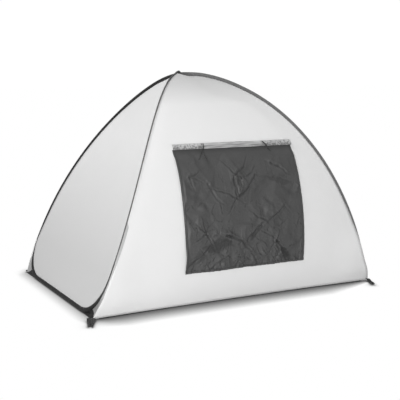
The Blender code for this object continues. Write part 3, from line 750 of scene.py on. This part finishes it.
def build_panel(end):
    """The front or back panel in one curved sheet from hem to ridge, open at its window or door."""
    low, high = (WINDOW_LOW, WINDOW_HIGH) if end == FRONT else (DOOR_LOW, DOOR_HIGH)
    levels = panel_levels(low, high, end)
    hole = opening_half(end, levels)[:, None]
    beside, across = 28, 40
    s_side, s_mid = np.linspace(0, 1, beside + 1), np.linspace(-1, 1, across + 1)
    reaches = (reach_at(end, side, levels)[:, None] for side in (LEFT, RIGHT))
    left, right = (half - (half - hole) * s_side[None, :-1] for half in reaches)
    x = np.concatenate([-left, hole * s_mid[None], right[:, ::-1]], axis=1)
    z = np.repeat(levels[:, None], x.shape[1], axis=1)
    out = np.zeros_like(z)
    if end == BACK:  # a sill that rises behind the door's lower corners and covers them as the frame folds
        sill = np.searchsorted(levels, DOOR_LOW - 1e-6), slice(beside, beside + across + 1)
        lap = s_mid**2 * smooth(1 - np.abs(s_mid), 0, 0.05)
        z[sill] += SILL_RISE * lap
        out[sill] = -SILL_BEHIND * smooth(lap, 0, 0.1)
    grid = drawn_in(end, on_panel(end, x, z, out))
    middle = (levels[:-1] + levels[1:]) / 2
    drop = np.zeros((len(levels) - 1, x.shape[1] - 1), bool)
    drop[(middle > low) & (middle < high), beside : beside + across] = True
    if end == BACK:
        grid, drop = grid[:, ::-1], drop[:, ::-1]
    panel = sheet(f"{PLACE[end]}_panel_cloth", grid, WHITE, CLOTH, drop)
    cross_fold(panel, f"{PLACE[end]}_panel")
    xs = np.linspace(-LENGTH / 2 + 0.02, LENGTH / 2 - 0.02, 121)
    row = panel_stitches(f"hem_stitches_{PLACE[end]}", end, xs, 0 * xs + 0.0105, CLOTH / 2, THREAD_LIGHT)
    cross_fold(row)


def build_floor():
    """Coated groundsheet, lying flat with shallow unevenness, its edges caught in hems and bars."""
    u, v = np.meshgrid(np.linspace(-1, 1, 81), np.linspace(-1, 1, 57))
    x = u * (LENGTH / 2 - 0.008)
    y = v * (DEPTH / 2 - 0.004 - HEM_BOW * (1 - u**2))
    z = 0.0011 + 0.0007 * wander(np.stack([x, y, 0 * x], axis=2), 0.07, 1.0)
    floor = sheet("groundsheet_cloth", np.stack([x, y, z], axis=2), DARK, 0.0008)
    cross_fold(floor, "groundsheet")


def build_hem(end):
    """Dark piping sewn along the floor edge, thinning out just before the corners."""
    x = np.linspace(-LENGTH / 2 + 0.014, LENGTH / 2 - 0.010, 181)
    path = np.stack([x, panel_y(end, x, np.zeros_like(x)), np.full_like(x, HEM_R)], axis=1)
    taper = np.minimum(smooth(x - x[0], -0.004, 0.02), smooth(x[-1] - x, -0.004, 0.02))
    thick = HEM_R * taper * (1 + 0.06 * wander(path, 0.02, 4.0))
    rings = ring_round(path, np.tile([0.0, float(end), 0.15], (len(x), 1)), thick, thick * 0.96, sides=14)
    name = f"hem_piping_{PLACE[end]}"
    cross_fold(loft(name + "_cloth", rings, BINDING), name)


def build_crossing_wrap():
    """Binding wrapped round the upper hoop where the two cross."""
    path = resample(np.concatenate([HOOP[LEFT][:9][::-1], HOOP[RIGHT][-9:][::-1]]), 41)
    outward = np.tile([0.0, 0.0, 1.0], (len(path), 1))
    along = np.linspace(-1, 1, len(path))
    lap = 1 + 0.05 * np.cos(along * 34) + 0.04 * wander(path, 0.008, 6.0)
    thick = lap * (1 - 0.16 * np.abs(along) ** 6)
    rings = ring_round(path, outward, 0.0057 * thick, 0.0042 * thick, -0.0029, sides=24)
    wrap = loft("crossing_wrap_cloth", rings, BINDING)
    share = smooth([v.co.x for v in wrap.data.vertices], -0.012, 0.012)
    cross_fold(wrap, "crossing_wrap", share)


# ---------------------------------------------------------------- window, flap, header and ties


def rounded_box(half, low, high, radius, steps=9):
    """A closed rounded rectangle about x = 0, as evenly spaced points."""
    points = []
    for cx, cz, start in (
        (half - radius, low + radius, -90),
        (half - radius, high - radius, 0),
        (-half + radius, high - radius, 90),
        (-half + radius, low + radius, 180),
    ):
        turn = np.radians(np.linspace(start, start + 90, steps))
        points += [(cx + radius * math.cos(a), 0.0, cz + radius * math.sin(a)) for a in turn]
    return resample(points + points[:1], 161)


def build_window():
    """Clear film behind the flap, and its bound edge."""
    lap, calm = 0.014, 0.06
    x, z = np.meshgrid(
        np.linspace(-1, 1, 41) * (WINDOW_X + lap), np.linspace(WINDOW_LOW - lap, WINDOW_HIGH + lap, 41)
    )
    from_sides, from_ends = WINDOW_X - np.abs(x), np.minimum(z - WINDOW_LOW, WINDOW_HIGH - z)
    ripple = smooth(np.minimum(from_sides, from_ends), 0, calm) * wander(upright(x, z), 0.10, 7.0)
    film = sheet("window_film_clear", on_panel(FRONT, x, z, -0.0018 + 0.0012 * ripple), FILM, 0.0005)
    on_canopy(film, "window_film")
    inner = rounded_box(WINDOW_X - 0.001, WINDOW_LOW + 0.001, WINDOW_HIGH - 0.001, 0.020)
    outer = rounded_box(WINDOW_X + TRIM_WIDTH, WINDOW_LOW - TRIM_WIDTH, WINDOW_HIGH + TRIM_WIDTH, 0.030)
    s = np.linspace(0, 1, 9)
    rings = []
    for a, b in zip(inner[:-1], outer[:-1]):
        x, _, z = (a + (b - a) * s[:, None]).T
        top = on_panel(FRONT, x, z, 0.0016 + 0.0005 * np.sin(math.pi * s))
        rings.append(np.concatenate([top, on_panel(FRONT, x[::-1], z[::-1], 0.0009)]))
    on_canopy(loft("window_trim_tape", rings, BINDING, closed=True), "window_trim")
    for word, share in (("inner", 0.16), ("outer", 0.84)):
        x, _, z = (inner + (outer - inner) * share).T
        on_canopy(panel_stitches(f"trim_stitches_{word}", FRONT, x, z, 0.0021))


def facets(points, x, z):
    """Heights over a grid from scattered (x, z, height) points joined by flat triangles, like foil."""
    verts, _, triangles, origin, _, _ = delaunay_2d_cdt([Vector(p[:2]) for p in points], [], [], 0, 1e-7)
    tall = np.array([points[o[0]][2] for o in origin])
    corner = np.array([(v.x, v.y) for v in verts])
    out = np.zeros_like(x)
    for triangle in triangles:
        (ax, az), (bx, bz), (cx, cz) = corner[list(triangle)]
        area = (bx - ax) * (cz - az) - (cx - ax) * (bz - az)
        if abs(area) < 1e-12:
            continue
        w1 = ((x - ax) * (cz - az) - (cx - ax) * (z - az)) / area
        w2 = ((bx - ax) * (z - az) - (x - ax) * (bz - az)) / area
        inside = (w1 >= -1e-9) & (w2 >= -1e-9) & (w1 + w2 <= 1 + 1e-9)
        ha, hb, hc = tall[list(triangle)]
        out[inside] = (ha + w1 * (hb - ha) + w2 * (hc - ha))[inside]
    return out


def soften(heights, passes):
    """Heights blurred a little, once for each pass."""
    for _ in range(passes):
        wide = np.pad(heights, 1, mode="edge")
        beside = wide[:-2, 1:-1] + wide[2:, 1:-1] + wide[1:-1, :-2] + wide[1:-1, 2:]
        heights = (4 * heights + beside) / 8
    return heights


# Where the nylon is pinched, as shares of the flap's width and height from its lower left corner,
# with the creases leaving each pinch: sideways, upward, and how deep
PINCHES = (
    (0.17, 0.32, (
        (-0.03, 0.15, 0.9), (-0.09, 0.10, 0.7), (0.08, 0.12, 0.8), (0.08, -0.17, 1.0), (-0.14, -0.09, 0.8),
    )),
    (0.44, 0.59, (
        (-0.27, 0.10, 0.6), (-0.10, -0.14, 0.9), (0.20, 0.18, 0.8), (0.01, 0.21, 0.5), (0.10, -0.06, 0.5),
    )),
    (0.75, 0.20, (
        (0.19, -0.17, 1.5), (0.06, 0.15, 0.8), (-0.06, -0.12, 0.7), (-0.10, 0.08, 0.9), (0.05, -0.18, 0.9),
    )),
    (0.50, 0.75, (
        (-0.19, 0.20, 0.5), (0.16, 0.13, 0.5), (-0.05, -0.16, 0.6),
    )),
    (0.08, 0.78, (
        (0.10, 0.05, 0.6), (0.03, -0.12, 0.5), (0.12, -0.06, 0.4),
    )),
)
# Long creases between them, as shares from the lower left corner, each with its depth
LONG_CREASES = (
    (1.7, (0.33, 0.29), (0.44, 0.24), (0.52, 0.16), (0.60, 0.01)),
    (1.5, (0.50, 0.23), (0.60, 0.33), (0.67, 0.38)),
    (1.1, (0.67, 0.38), (0.60, 0.42), (0.52, 0.50)),
    (1.0, (0.68, 0.37), (0.80, 0.46), (0.84, 0.50), (0.90, 0.40)),
    (0.9, (0.46, 0.60), (0.56, 0.68), (0.62, 0.77), (0.72, 0.75), (0.90, 0.73)),
    (1.3, (0.78, 0.86), (0.86, 0.81), (0.96, 0.74)),
    (0.8, (0.46, 0.78), (0.54, 0.84), (0.60, 0.95)),
    (1.0, (0.44, 0.77), (0.45, 0.68), (0.46, 0.61), (0.40, 0.50)),
    (1.2, (0.02, 0.05), (0.10, 0.12), (0.20, 0.21), (0.38, 0.23)),
    (1.0, (0.20, 0.02), (0.30, 0.10), (0.45, 0.08)),
    (0.7, (0.22, 0.72), (0.27, 0.60), (0.36, 0.52)),
)
# Patches of nylon sunk between creases, in shadow: centre, half width, half height, slant and darkness
SUNKEN = (
    (0.26, 0.21, 0.15, 0.070, 0.25, 0.60),
    (0.45, 0.73, 0.045, 0.080, -0.4, 0.40),
    (0.57, 0.29, 0.13, 0.034, 0.8, 0.50),
    (0.83, 0.08, 0.085, 0.045, -0.9, 0.80),
    (0.83, 0.71, 0.14, 0.034, -0.35, 0.35),
    (0.10, 0.12, 0.10, 0.050, 0.7, 0.40),
)


def crease(x, z, path, width, depth, rng):
    """Height and darkness of one crease: a groove between shoulders that tips the cloth to one side."""
    path = np.array(path, float)
    for _ in range(3):
        middle = (path[1:] + path[:-1]) / 2
        across = (path[1:] - path[:-1])[:, ::-1] * [1, -1]
        middle += across * rng.normal(0, 0.05, (len(middle), 1))
        whole = np.empty((len(path) + len(middle), 2))
        whole[0::2], whole[1::2] = path, middle
        path = whole
    nearest, side, along = np.full(x.shape, 9.0), np.zeros(x.shape), np.zeros(x.shape)
    for k in range(len(path) - 1):
        (ax, az), (bx, bz) = path[k], path[k + 1]
        long = max((bx - ax) ** 2 + (bz - az) ** 2, 1e-12)
        t = np.clip(((x - ax) * (bx - ax) + (z - az) * (bz - az)) / long, 0, 1)
        gap = np.hypot(x - ax - t * (bx - ax), z - az - t * (bz - az))
        closer = gap < nearest
        nearest = np.where(closer, gap, nearest)
        turn = (bx - ax) * (z - az) - (bz - az) * (x - ax)
        side = np.where(closer, np.tanh(turn / math.sqrt(long) / width), side)
        along = np.where(closer, (k + t) / (len(path) - 1), along)
    width = width * (1.25 - 0.5 * along)
    strong = depth * (1 - along**2) * (0.75 + 0.25 * np.cos(along * 17 + path[0, 0] * 90))
    groove = np.exp(-((nearest / width) ** 2))
    shoulder = np.exp(-(((nearest - 2.0 * width) / (1.2 * width)) ** 2))
    tip = side * np.exp(-nearest / (6 * width))
    return strong * (0.45 * shoulder - groove + 0.9 * tip), groove * strong / max(depth, 1e-9)


def crumple(x, z, low, high):
    """Heights and fold shadows of the flap: main creases, then a finer crumple, deeper towards the bottom."""
    rng = np.random.default_rng(29)
    wide, tall = FLAP_RIGHT - FLAP_LEFT, high - low

    def spot(a, b):
        return FLAP_LEFT + wide * a, low + tall * b

    heights, shadow = np.zeros_like(x), np.zeros_like(x)

    def lay(path, width, depth, dark):
        nonlocal heights, shadow
        reach = 8 * width
        xs, zs = [p[0] for p in path], [p[1] for p in path]
        cols = (x[0] > min(xs) - reach) & (x[0] < max(xs) + reach)
        rows = (z[:, 0] > min(zs) - reach) & (z[:, 0] < max(zs) + reach)
        if cols.sum() < 2 or rows.sum() < 2:
            return
        near = np.ix_(rows, cols)
        bump, line = crease(x[near], z[near], path, width, depth, rng)
        heights[near] += bump
        shadow[near] = np.maximum(shadow[near], line * dark)

    for a, b, rays in PINCHES:
        for da, db, deep in rays:
            middle = spot(a + 0.5 * da + rng.normal(0, 0.012), b + 0.5 * db + rng.normal(0, 0.012))
            lay([spot(a, b), middle, spot(a + da, b + db)], 0.0027, 0.0026 * deep, min(0.45 + 0.4 * deep, 1))
    for deep, *corners in LONG_CREASES:
        lay([spot(*c) for c in corners], 0.0034, 0.0026 * deep, min(0.25 + 0.4 * deep, 1))
    for _ in range(34):
        a, b = rng.random(), rng.random() ** 1.5
        turn = rng.choice([0.75, 2.3]) + rng.normal(0, 0.35)
        length = 0.05 + 0.09 * rng.random()
        (x0, z0), (dx, dz) = spot(a, b), (length * math.cos(turn), length * math.sin(turn))
        lay([(x0 - dx / 2, z0 - dz / 2), (x0 + dx / 2, z0 + dz / 2)], 0.0085, 0.0020 * (1 - 0.4 * b), 0.20)
    for _ in range(200):
        a, b = rng.random(), rng.random() ** 2.6 * 0.9
        turn = rng.choice([0.7, 2.3, 1.4]) + rng.normal(0, 0.4)
        length = 0.012 + 0.045 * rng.random() ** 2 * (1.2 - b)
        fine = 0.0015 + 0.0012 * rng.random()
        (x0, z0), (dx, dz) = spot(a, b), (length * math.cos(turn), length * math.sin(turn))
        lay([(x0, z0), (x0 + dx, z0 + dz)], fine, (1 - b) * 0.0014, 0.75 - 0.6 * b)
    points = [spot(a, b) + (0.0,) for a in (-0.05, 0.5, 1.05) for b in (-0.05, 1.05)]
    for _ in range(64):
        points.append(spot(rng.random(), rng.random()) + (0.0030 * rng.normal(),))
    for _ in range(90):
        points.append(spot(rng.random(), rng.random() ** 1.6 * 0.55) + (0.0018 * rng.normal(),))
    u, v = (x - FLAP_LEFT) / wide, (z - low) / tall
    rough = 0.35 * wander(upright(x, z), 0.012, 12.0)
    for a, b, half, deep, slant, dark in SUNKEN:
        across = (u - a) * math.cos(slant) + (v - b) * math.sin(slant)
        up = (v - b) * math.cos(slant) - (u - a) * math.sin(slant)
        inside = smooth(1 - np.hypot(across / half, up / deep) + rough, 0.0, 0.5)
        shadow = np.maximum(shadow, dark * inside)
        heights = heights - 0.0012 * inside
    return heights + soften(facets(points, x, z), 6), shadow


def flap_grid(cols, rows, low, high):
    """A grid as wide as the flap: shares of its width and height, then x and z."""
    u, v = np.meshgrid(np.linspace(0, 1, cols), np.linspace(0, 1, rows))
    return u, v, FLAP_LEFT + (FLAP_RIGHT - FLAP_LEFT) * u, low + (high - low) * v


def build_flap():
    """Thin crumpled nylon cover hanging over the window from its header seam."""
    seam, least = FLAP_HIGH - HEADER_DROP, 0.0032
    u, v, x, z = flap_grid(301, 259, FLAP_LOW, seam + 0.003)
    shape, shadow = crumple(x, z, FLAP_LOW, seam)
    flat = upright(x, z)
    fine = 0.0005 * (1 - 2 * np.abs(wander(flat, 0.030, 1.5))) + 0.0002 * wander(flat, 0.009, 8.5)
    border = np.minimum(np.minimum(u, 1 - u) * (FLAP_RIGHT - FLAP_LEFT), v * (seam - FLAP_LOW))
    lower = 0.5 + 0.5 * smooth(1 - v, 0.35, 0.75)
    out = FLAP_OFF + (shape + fine * lower) * smooth(1 - v, 0.0, 0.06)
    out += 0.0007 * (1 - smooth(border, 0.0070, 0.0082))
    out = least + np.log1p(np.exp((out - least) / 0.0008)) * 0.0008
    # The top runs close to the panel, so it clears the header when lifted
    tucked = 1 - smooth(seam - z, 0.008, 0.040)
    out += (0.0011 - out) * tucked
    x = x + 0.0016 * wander(flat * [0, 0, 1], 0.09, 3.3) * (2 * u - 1) ** 2
    z = z + 0.0018 * wander(flat * [1, 0, 0], 0.07, 5.1) * (1 - v) ** 4
    edge = 0.8 * smooth(border, 0.0066, 0.0076) * (1 - smooth(border, 0.0082, 0.0096))
    # Painted shade in the creases and sunk patches, with a darker line along the hem's inner edge
    dark = np.maximum(shadow, edge)
    flap = sheet("window_flap_nylon", on_panel(FRONT, x, z, out), NYLON, 0.0007, fold=dark)
    on_canopy(flap, "window_flap", "window_flap")
    inset, short = 3, 8
    for word, line in (
        ("left", np.s_[inset:-short, inset]),
        ("right", np.s_[inset:-short, -1 - inset]),
        ("low", np.s_[inset, inset : -1 - inset]),
    ):
        row = panel_stitches(f"flap_stitches_{word}", FRONT, x[line], z[line], out[line] + 0.0004)
        on_canopy(row, body="window_flap")


def build_header():
    """The flap's folded top hem: a soft, shiny roll, pinched where the two ties are sewn through it."""
    low = FLAP_HIGH - HEADER_DROP + 0.0002
    _, q, x, z = flap_grid(301, 19, low, low + HEADER_DROP)
    flat = upright(x, z)
    pinch = np.ones_like(x)
    for tie in TIE_X:
        pinch *= 1 - 0.6 * np.exp(-(((x - tie) / 0.008) ** 2))
    ends = smooth(-x, -TIE_X[0] - 0.006, -TIE_X[0] + 0.006) + smooth(x, TIE_X[1] - 0.006, TIE_X[1] + 0.006)
    lumps = 0.0011 * wander(flat * [0.4, 1, 1], 0.014, 2.2) + ends * 0.0008 * wander(flat, 0.006, 7.7)
    roll = np.sin(math.pi * (0.06 + 0.94 * q)) ** 0.7
    out = 0.0058 + (0.0038 + lumps) * roll * pinch
    z = z + (0.0014 * wander(flat * [1, 0, 0], 0.05, 4.4) + 0.0008 * wander(flat * [1, 0, 0], 0.012, 1.4)) * q
    # Painted sheen: streaks across the middle segment
    sheen_streaks = 0.5 + 1.6 * wander(flat * [0.10, 1, 1], 0.0045, 3.1)
    speckle = 0.5 + 2.2 * wander(flat, 0.0055, 6.2)
    # Painted shade: darker towards the roll's lower side and where the ties pinch it; the speckle on the end
    # segments is the cloth's own
    shade = (1 - ends) * (0.42 * sheen_streaks + 0.30 * (1 - q)) + ends * (0.60 * speckle + 1.25 * (0.58 - q))
    shade = np.clip(shade + 0.8 * (1 - pinch), 0, 1)
    header = sheet("flap_header_nylon", on_panel(FRONT, x, z, out), HEADER, 0.0008, fold=shade)
    on_canopy(header, "flap_header")


def build_tie(word, x, tails):
    """A narrow tie hanging in tails over the header, each a slightly twisted flat tape."""
    t = np.linspace(0, 1, 33)
    name = f"flap_tie_{word}"
    for k, (x0, x1, drop0, drop1) in enumerate(tails):
        drop = drop0 + (drop1 - drop0) * t
        px, pz = x + x0 + (x1 - x0) * t**1.2, FLAP_HIGH - 0.003 - drop
        clear = 0.0082 + 0.0060 * smooth(drop, 0.0, 0.015) + 0.0006 * (np.sin(7 * t) + k)
        path = on_panel(FRONT, px, pz, clear)
        outward = unit(on_panel(FRONT, px, pz, clear + NORMAL_REACH) - path)
        flat = np.cross(unit(np.gradient(path, axis=0)), outward)
        roll = (0.7 * np.sin(3.0 * t + x1 * 40))[:, None]
        facing = outward * np.cos(roll) + flat * np.sin(roll)
        rings = ring_round(path, facing, 0.0005, 0.0020, sides=12, power=0.7)
        tail = loft(f"{name}_tail_{k + 1}", rings, TIE)
        on_canopy(tail, name if k == 0 else None, name)


# ---------------------------------------------------------------- door and zip


def door_outline(shrink, count=201):
    """The door opening going round from its lower right corner over the top, as x, 0, z."""
    levels = door_levels(DOOR_LOW, DOOR_HIGH - shrink, 20, 15)
    side = upright(door_half(levels, shrink), levels)
    return resample(np.concatenate([side, side[::-1] * [-1, 1, 1]]), count)


def build_door():
    """Door leaf, the two zip tapes, their coil teeth and stitching."""
    gap, cols = 0.0015, np.linspace(1, -1, 49)
    levels = door_levels(DOOR_LOW + 0.0012, DOOR_HIGH - gap, 36, 15)
    x = door_half(levels, gap)[:, None] * cols[None]
    z = np.repeat(levels[:, None], len(cols), axis=1)
    ripple = 0.0009 * (1 - np.abs(cols) ** 4) * wander(upright(x, z), 0.12, 6.0)
    leaf = sheet("door_panel_cloth", on_panel(BACK, x, z, ripple), WHITE)
    on_canopy(leaf, "door_panel", "door")
    s = np.linspace(0, 1, 7)[:, None]
    for word, body, sign in (("frame", "canopy", -1), ("door", "door", 1)):
        near, far = door_outline(sign * 0.0012), door_outline(sign * (0.0012 + ZIP_WIDTH))
        band = near[None] + (far - near)[None] * s[..., None]
        crown = 0.0014 + 0.0002 * np.sin(math.pi * s)
        grid = on_panel(BACK, band[..., 0], band[..., 2], crown)
        tape = sheet(f"zip_tape_{word}_woven", grid if sign > 0 else grid[::-1], ZIP_TAPE, 0.0008)
        on_canopy(tape, f"zip_tape_{word}", body)
        x, _, z = (near + (far - near) * 0.72).T
        on_canopy(panel_stitches(f"zip_stitches_{word}", BACK, x, z, 0.0020), body=body)
        on_canopy(zip_teeth(f"zip_coil_{word}", near, far), body=body)


def zip_teeth(name, near, far):
    """One side of the coil: small rounded teeth across the tape's inner edge, one every 2 mm."""
    pitch, count = 0.0021, int(1.35 / 0.0021)
    near, far = resample(near, count), resample(far, count)
    inward = unit(near - far)
    seat, tip = near - inward * 0.0030, near + inward * 0.0004
    ahead = np.cross(inward, [0, 1.0, 0]) * pitch * 0.30
    corners = []
    middle = (seat + tip) / 2
    for at, lift in ((seat, 0.0018), (middle, 0.0031), (tip, 0.0018), (seat, 0.0012), (tip, 0.0012)):
        for shove in (-1, 1):
            x, _, z = (at + ahead * shove).T
            corners.append(on_panel(BACK, x, z, lift))
    tooth = (
        (0, 1, 3, 2), (2, 3, 5, 4), (6, 8, 9, 7), (0, 6, 7, 1), (4, 5, 9, 8),
        (0, 2, 4, 8, 6), (1, 7, 9, 5, 3),
    )
    verts = np.stack(corners, axis=1).reshape(-1, 3)
    faces = [tuple(base + i for i in face) for base in range(0, len(verts), len(corners)) for face in tooth]
    return piece(name, verts, faces, COIL, verts)


def outline_body(name, middle, across, up, out, outline, levels, mat):
    """A body lofted along out through scaled copies of an outline given in across and up."""
    rings = []
    for level, scale in levels:
        rings.append([middle + across * a * scale + up * b * scale + out * level for a, b in outline])
    return loft(name, rings, mat)


def build_zip_sliders():
    """Cast sliders on the top run of the zip, each with a raised bridge and a moulded pull tab."""
    across = np.array([1.0, 0, 0])
    out = unit(on_panel(BACK, 0.0, DOOR_HIGH, NORMAL_REACH) - on_panel(BACK, 0.0, DOOR_HIGH, 0.0))
    up = np.cross(across, out)
    t = np.linspace(0, math.pi, 15)
    rise = out * (0.0020 + 0.0028 * np.sin(t))[:, None] + up * (0.0040 * np.cos(t))[:, None]
    levels = [(0.0, 0.90), (0.0004, 1.0), (0.0016, 1.0), (0.0022, 0.93), (0.0026, 0.70)]
    c, s = squared_turn(28, 0.7)
    outline = list(zip(0.0055 * c, 0.0058 * s))
    for word in ("left", "right"):
        name = f"zip_slider_{word}"
        low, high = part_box(name)
        base = (np.array(low) + np.array(high)) / 2 - out * 0.0024
        body = outline_body(name + "_cast", base, across, up, out, outline, levels, METAL)
        ride(body, name, name)
        rings = ring_round(base + rise, np.tile(across, (len(t), 1)), 0.0012, 0.0006, sides=10)
        ride(loft(name + "_bridge", rings, METAL), name)
        build_pull(f"zip_pull_{word}", across, out, up)


def build_pull(name, across, out, up):
    """A flat pull tab with a waist near its pivot and raised finger ribs."""
    pin = np.array(JOINTS[name + "_swing"]["pos_m"])
    length, thick = 0.0330, 0.0016
    centre = pin - up * (length - thick) / 2
    outline = []
    for turn in np.linspace(0, 2 * math.pi, 40, endpoint=False):
        b = math.sin(turn)
        waist = 0.0030 - 0.0007 * math.exp(-(((b - 0.25) / 0.3) ** 2))
        a = math.copysign(abs(math.cos(turn)) ** 0.45, math.cos(turn)) * waist
        outline.append((a, math.copysign(abs(b) ** 0.9, b) * length / 2))
    levels = [(-thick / 2, 0.92), (-thick / 4, 1.0), (thick / 4, 1.0), (thick / 2, 0.92)]
    ride(outline_body(name + "_tab", centre, across, up, out, outline, levels, PULL), name, name)
    for k in range(4):
        seat = centre - up * (0.004 + 0.0028 * k) + out * thick / 2
        path = seat + across * np.linspace(-0.0019, 0.0019, 9)[:, None]
        rings = ring_round(path, np.tile(out, (9, 1)), 0.0004, 0.0006, sides=8)
        ride(loft(f"{name}_rib_{k + 1}", rings, PULL), name)


# ---------------------------------------------------------------- stake loops


def build_stake_loop(side, end):
    """Webbing tab, its edges curling up, with an eye and a shallow notch at the tip."""
    name = f"stake_loop_{PLACE[end]}_{SIDE[side]}"
    joint = JOINTS[name + "_lift"]
    root, wide = np.array(joint["pos_m"]), unit(joint["axis"])
    out = np.array([-wide[1], wide[0], 0.0])
    length, width, thick = 0.088, 0.025, 0.0022
    s, w = np.meshgrid(np.linspace(-0.10, 1, 41), np.linspace(-1, 1, 21), indexing="ij")
    pinch = {(FRONT, RIGHT): 0.50, (BACK, LEFT): 0.60}.get((end, side), 1.0)
    at, share = (-0.1, 0.0, 0.12, 0.6, 0.9, 1.0), (0.40, 0.62, 0.60, 0.42, 0.33, 0.30)
    half = width * pinch * np.interp(s, at, share)
    notch = 1 - 0.30 * (1 - np.abs(w)) * smooth(s, 0.70, 1.0)
    run = s * length * np.where(s > 0, notch, 1.0)
    drop = (root[2] - 0.0022) * smooth(s, -0.05, 0.55)
    curl = 0.0042 / pinch * w**2 * smooth(s, 0.1, 0.9) + 0.0010 * np.sin(7 * s + 2 * w)
    grid = root * [1, 1, 0] + out * run[..., None] + wide * (half * w)[..., None]
    grid[..., 2] += np.maximum(root[2] - drop + curl, thick / 2 + 0.0004)
    ds, dw = ((v[:-1, :-1] + v[1:, 1:]) / 2 for v in (s, w))
    eye = ((ds - 0.66) / 0.075) ** 2 + (dw / 0.30) ** 2 < 1
    ride(sheet(name + "_webbing", grid, WEBBING, thick, eye), name, name)


# ---------------------------------------------------------------- CAD nodes kept as they are


def finish_cad_nodes():
    for side in SIDE.values():
        for node, mat in ((f"spring_rod_{side}", STEEL), (f"rod_ferrule_{side}", BRASS)):
            materials = frame["nodes"][node].data.materials
            materials.clear()
            materials.append(mat)


# ---------------------------------------------------------------- stage, light and camera


def build_stage():
    """A pale floor, white to the camera save for a soft contact shadow that narrows at its ends."""
    mesh = bpy.data.meshes.new("floor")
    far = 40.0
    mesh.from_pydata([(-far, -far, 0), (far, -far, 0), (far, far, 0), (-far, far, 0)], [], [(0, 1, 2, 3)])
    floor = bpy.data.objects.new("floor", mesh)
    floor.location.z = -0.0006
    bpy.context.scene.collection.objects.link(floor)
    mat, tree, shader = new_material("pale_floor")
    shader.inputs["Base Color"].default_value = grey(0.63)
    shader.inputs["Roughness"].default_value = 0.9
    x = position(tree)["X"]
    left, right = map_range(tree, x, -0.68, -0.50, 0.055, 0.115), map_range(tree, x, 0.36, 0.61, 0.115, 0.020)
    reach = maths(tree, "MINIMUM", left, right)
    near = add(tree, "AmbientOcclusion", {"Distance": reach}, samples=16).outputs["AO"]
    glow = add(tree, "Emission", {"Strength": maths(tree, "POWER", near, 2.0)}).outputs[0]
    seen = add(tree, "LightPath").outputs["Is Camera Ray"]
    blend = add(tree, "MixShader", {0: seen, 1: shader.outputs[0], 2: glow})
    tree.links.new(blend.outputs[0], tree.nodes["Material Output"].inputs["Surface"])
    mesh.materials.append(mat)


def area_light(name, place, power):
    """A disk light aimed at the middle of the tent."""
    data = bpy.data.lights.new(name, "AREA")
    data.shape, data.size, data.energy = "DISK", 2.2, power
    lamp = bpy.data.objects.new(name, data)
    lamp.location = place
    lamp.rotation_euler = (Vector((0.0, 0.0, 0.35)) - Vector(place)).to_track_quat("-Z", "Y").to_euler()
    bpy.context.scene.collection.objects.link(lamp)


def build_light():
    world = bpy.data.worlds.new("studio")
    bpy.context.scene.world = world
    world.use_nodes = True
    tree = world.node_tree
    background = tree.nodes["Background"]
    seen = add(tree, "LightPath").outputs["Is Camera Ray"]
    strength = maths(tree, "ADD", maths(tree, "MULTIPLY", seen, 0.65), 0.36)
    tree.links.new(strength, background.inputs["Strength"])
    background.inputs["Color"].default_value = (1, 1, 1, 1)
    area_light("key_front_left", (-2.4, -4.4, 0.9), 170)
    area_light("fill_high_left", (-2.6, 0.3, 4.2), 120)
    bpy.context.scene.view_settings.view_transform = "Standard"


def build_camera():
    azimuth, elevation = math.radians(-27.9), math.radians(8.7)
    target, distance = np.array([0.033, 0.0, 0.324]), 3.52
    back = np.array([
        math.sin(azimuth) * math.cos(elevation),
        -math.cos(azimuth) * math.cos(elevation),
        math.sin(elevation),
    ])
    data = bpy.data.cameras.new("camera")
    data.lens = 75.9
    data.sensor_width = 36.0
    camera = bpy.data.objects.new("camera", data)
    camera.location = target + back * distance
    camera.rotation_euler = Vector(back).to_track_quat("Z", "Y").to_euler()
    bpy.context.scene.collection.objects.link(camera)
    bpy.context.scene.camera = camera


def build_object():
    for side in (LEFT, RIGHT):
        build_sleeve(side)
        build_end_panel(side)
        for end in (FRONT, BACK):
            build_gusset(side, end)
            build_stake_loop(side, end)
    for end in (FRONT, BACK):
        build_panel(end)
        build_hem(end)
    build_floor()
    build_crossing_wrap()
    build_window()
    build_flap()
    build_header()
    build_tie("left", TIE_X[0], ((0.004, -0.036, 0.0, 0.058), (-0.012, -0.004, 0.022, 0.056)))
    build_tie("right", TIE_X[1], ((0.0, 0.014, 0.0, 0.024), (0.004, 0.022, 0.018, 0.040)))
    build_door()
    build_zip_sliders()
    finish_cad_nodes()


build_object()
build_stage()
build_light()
build_camera()
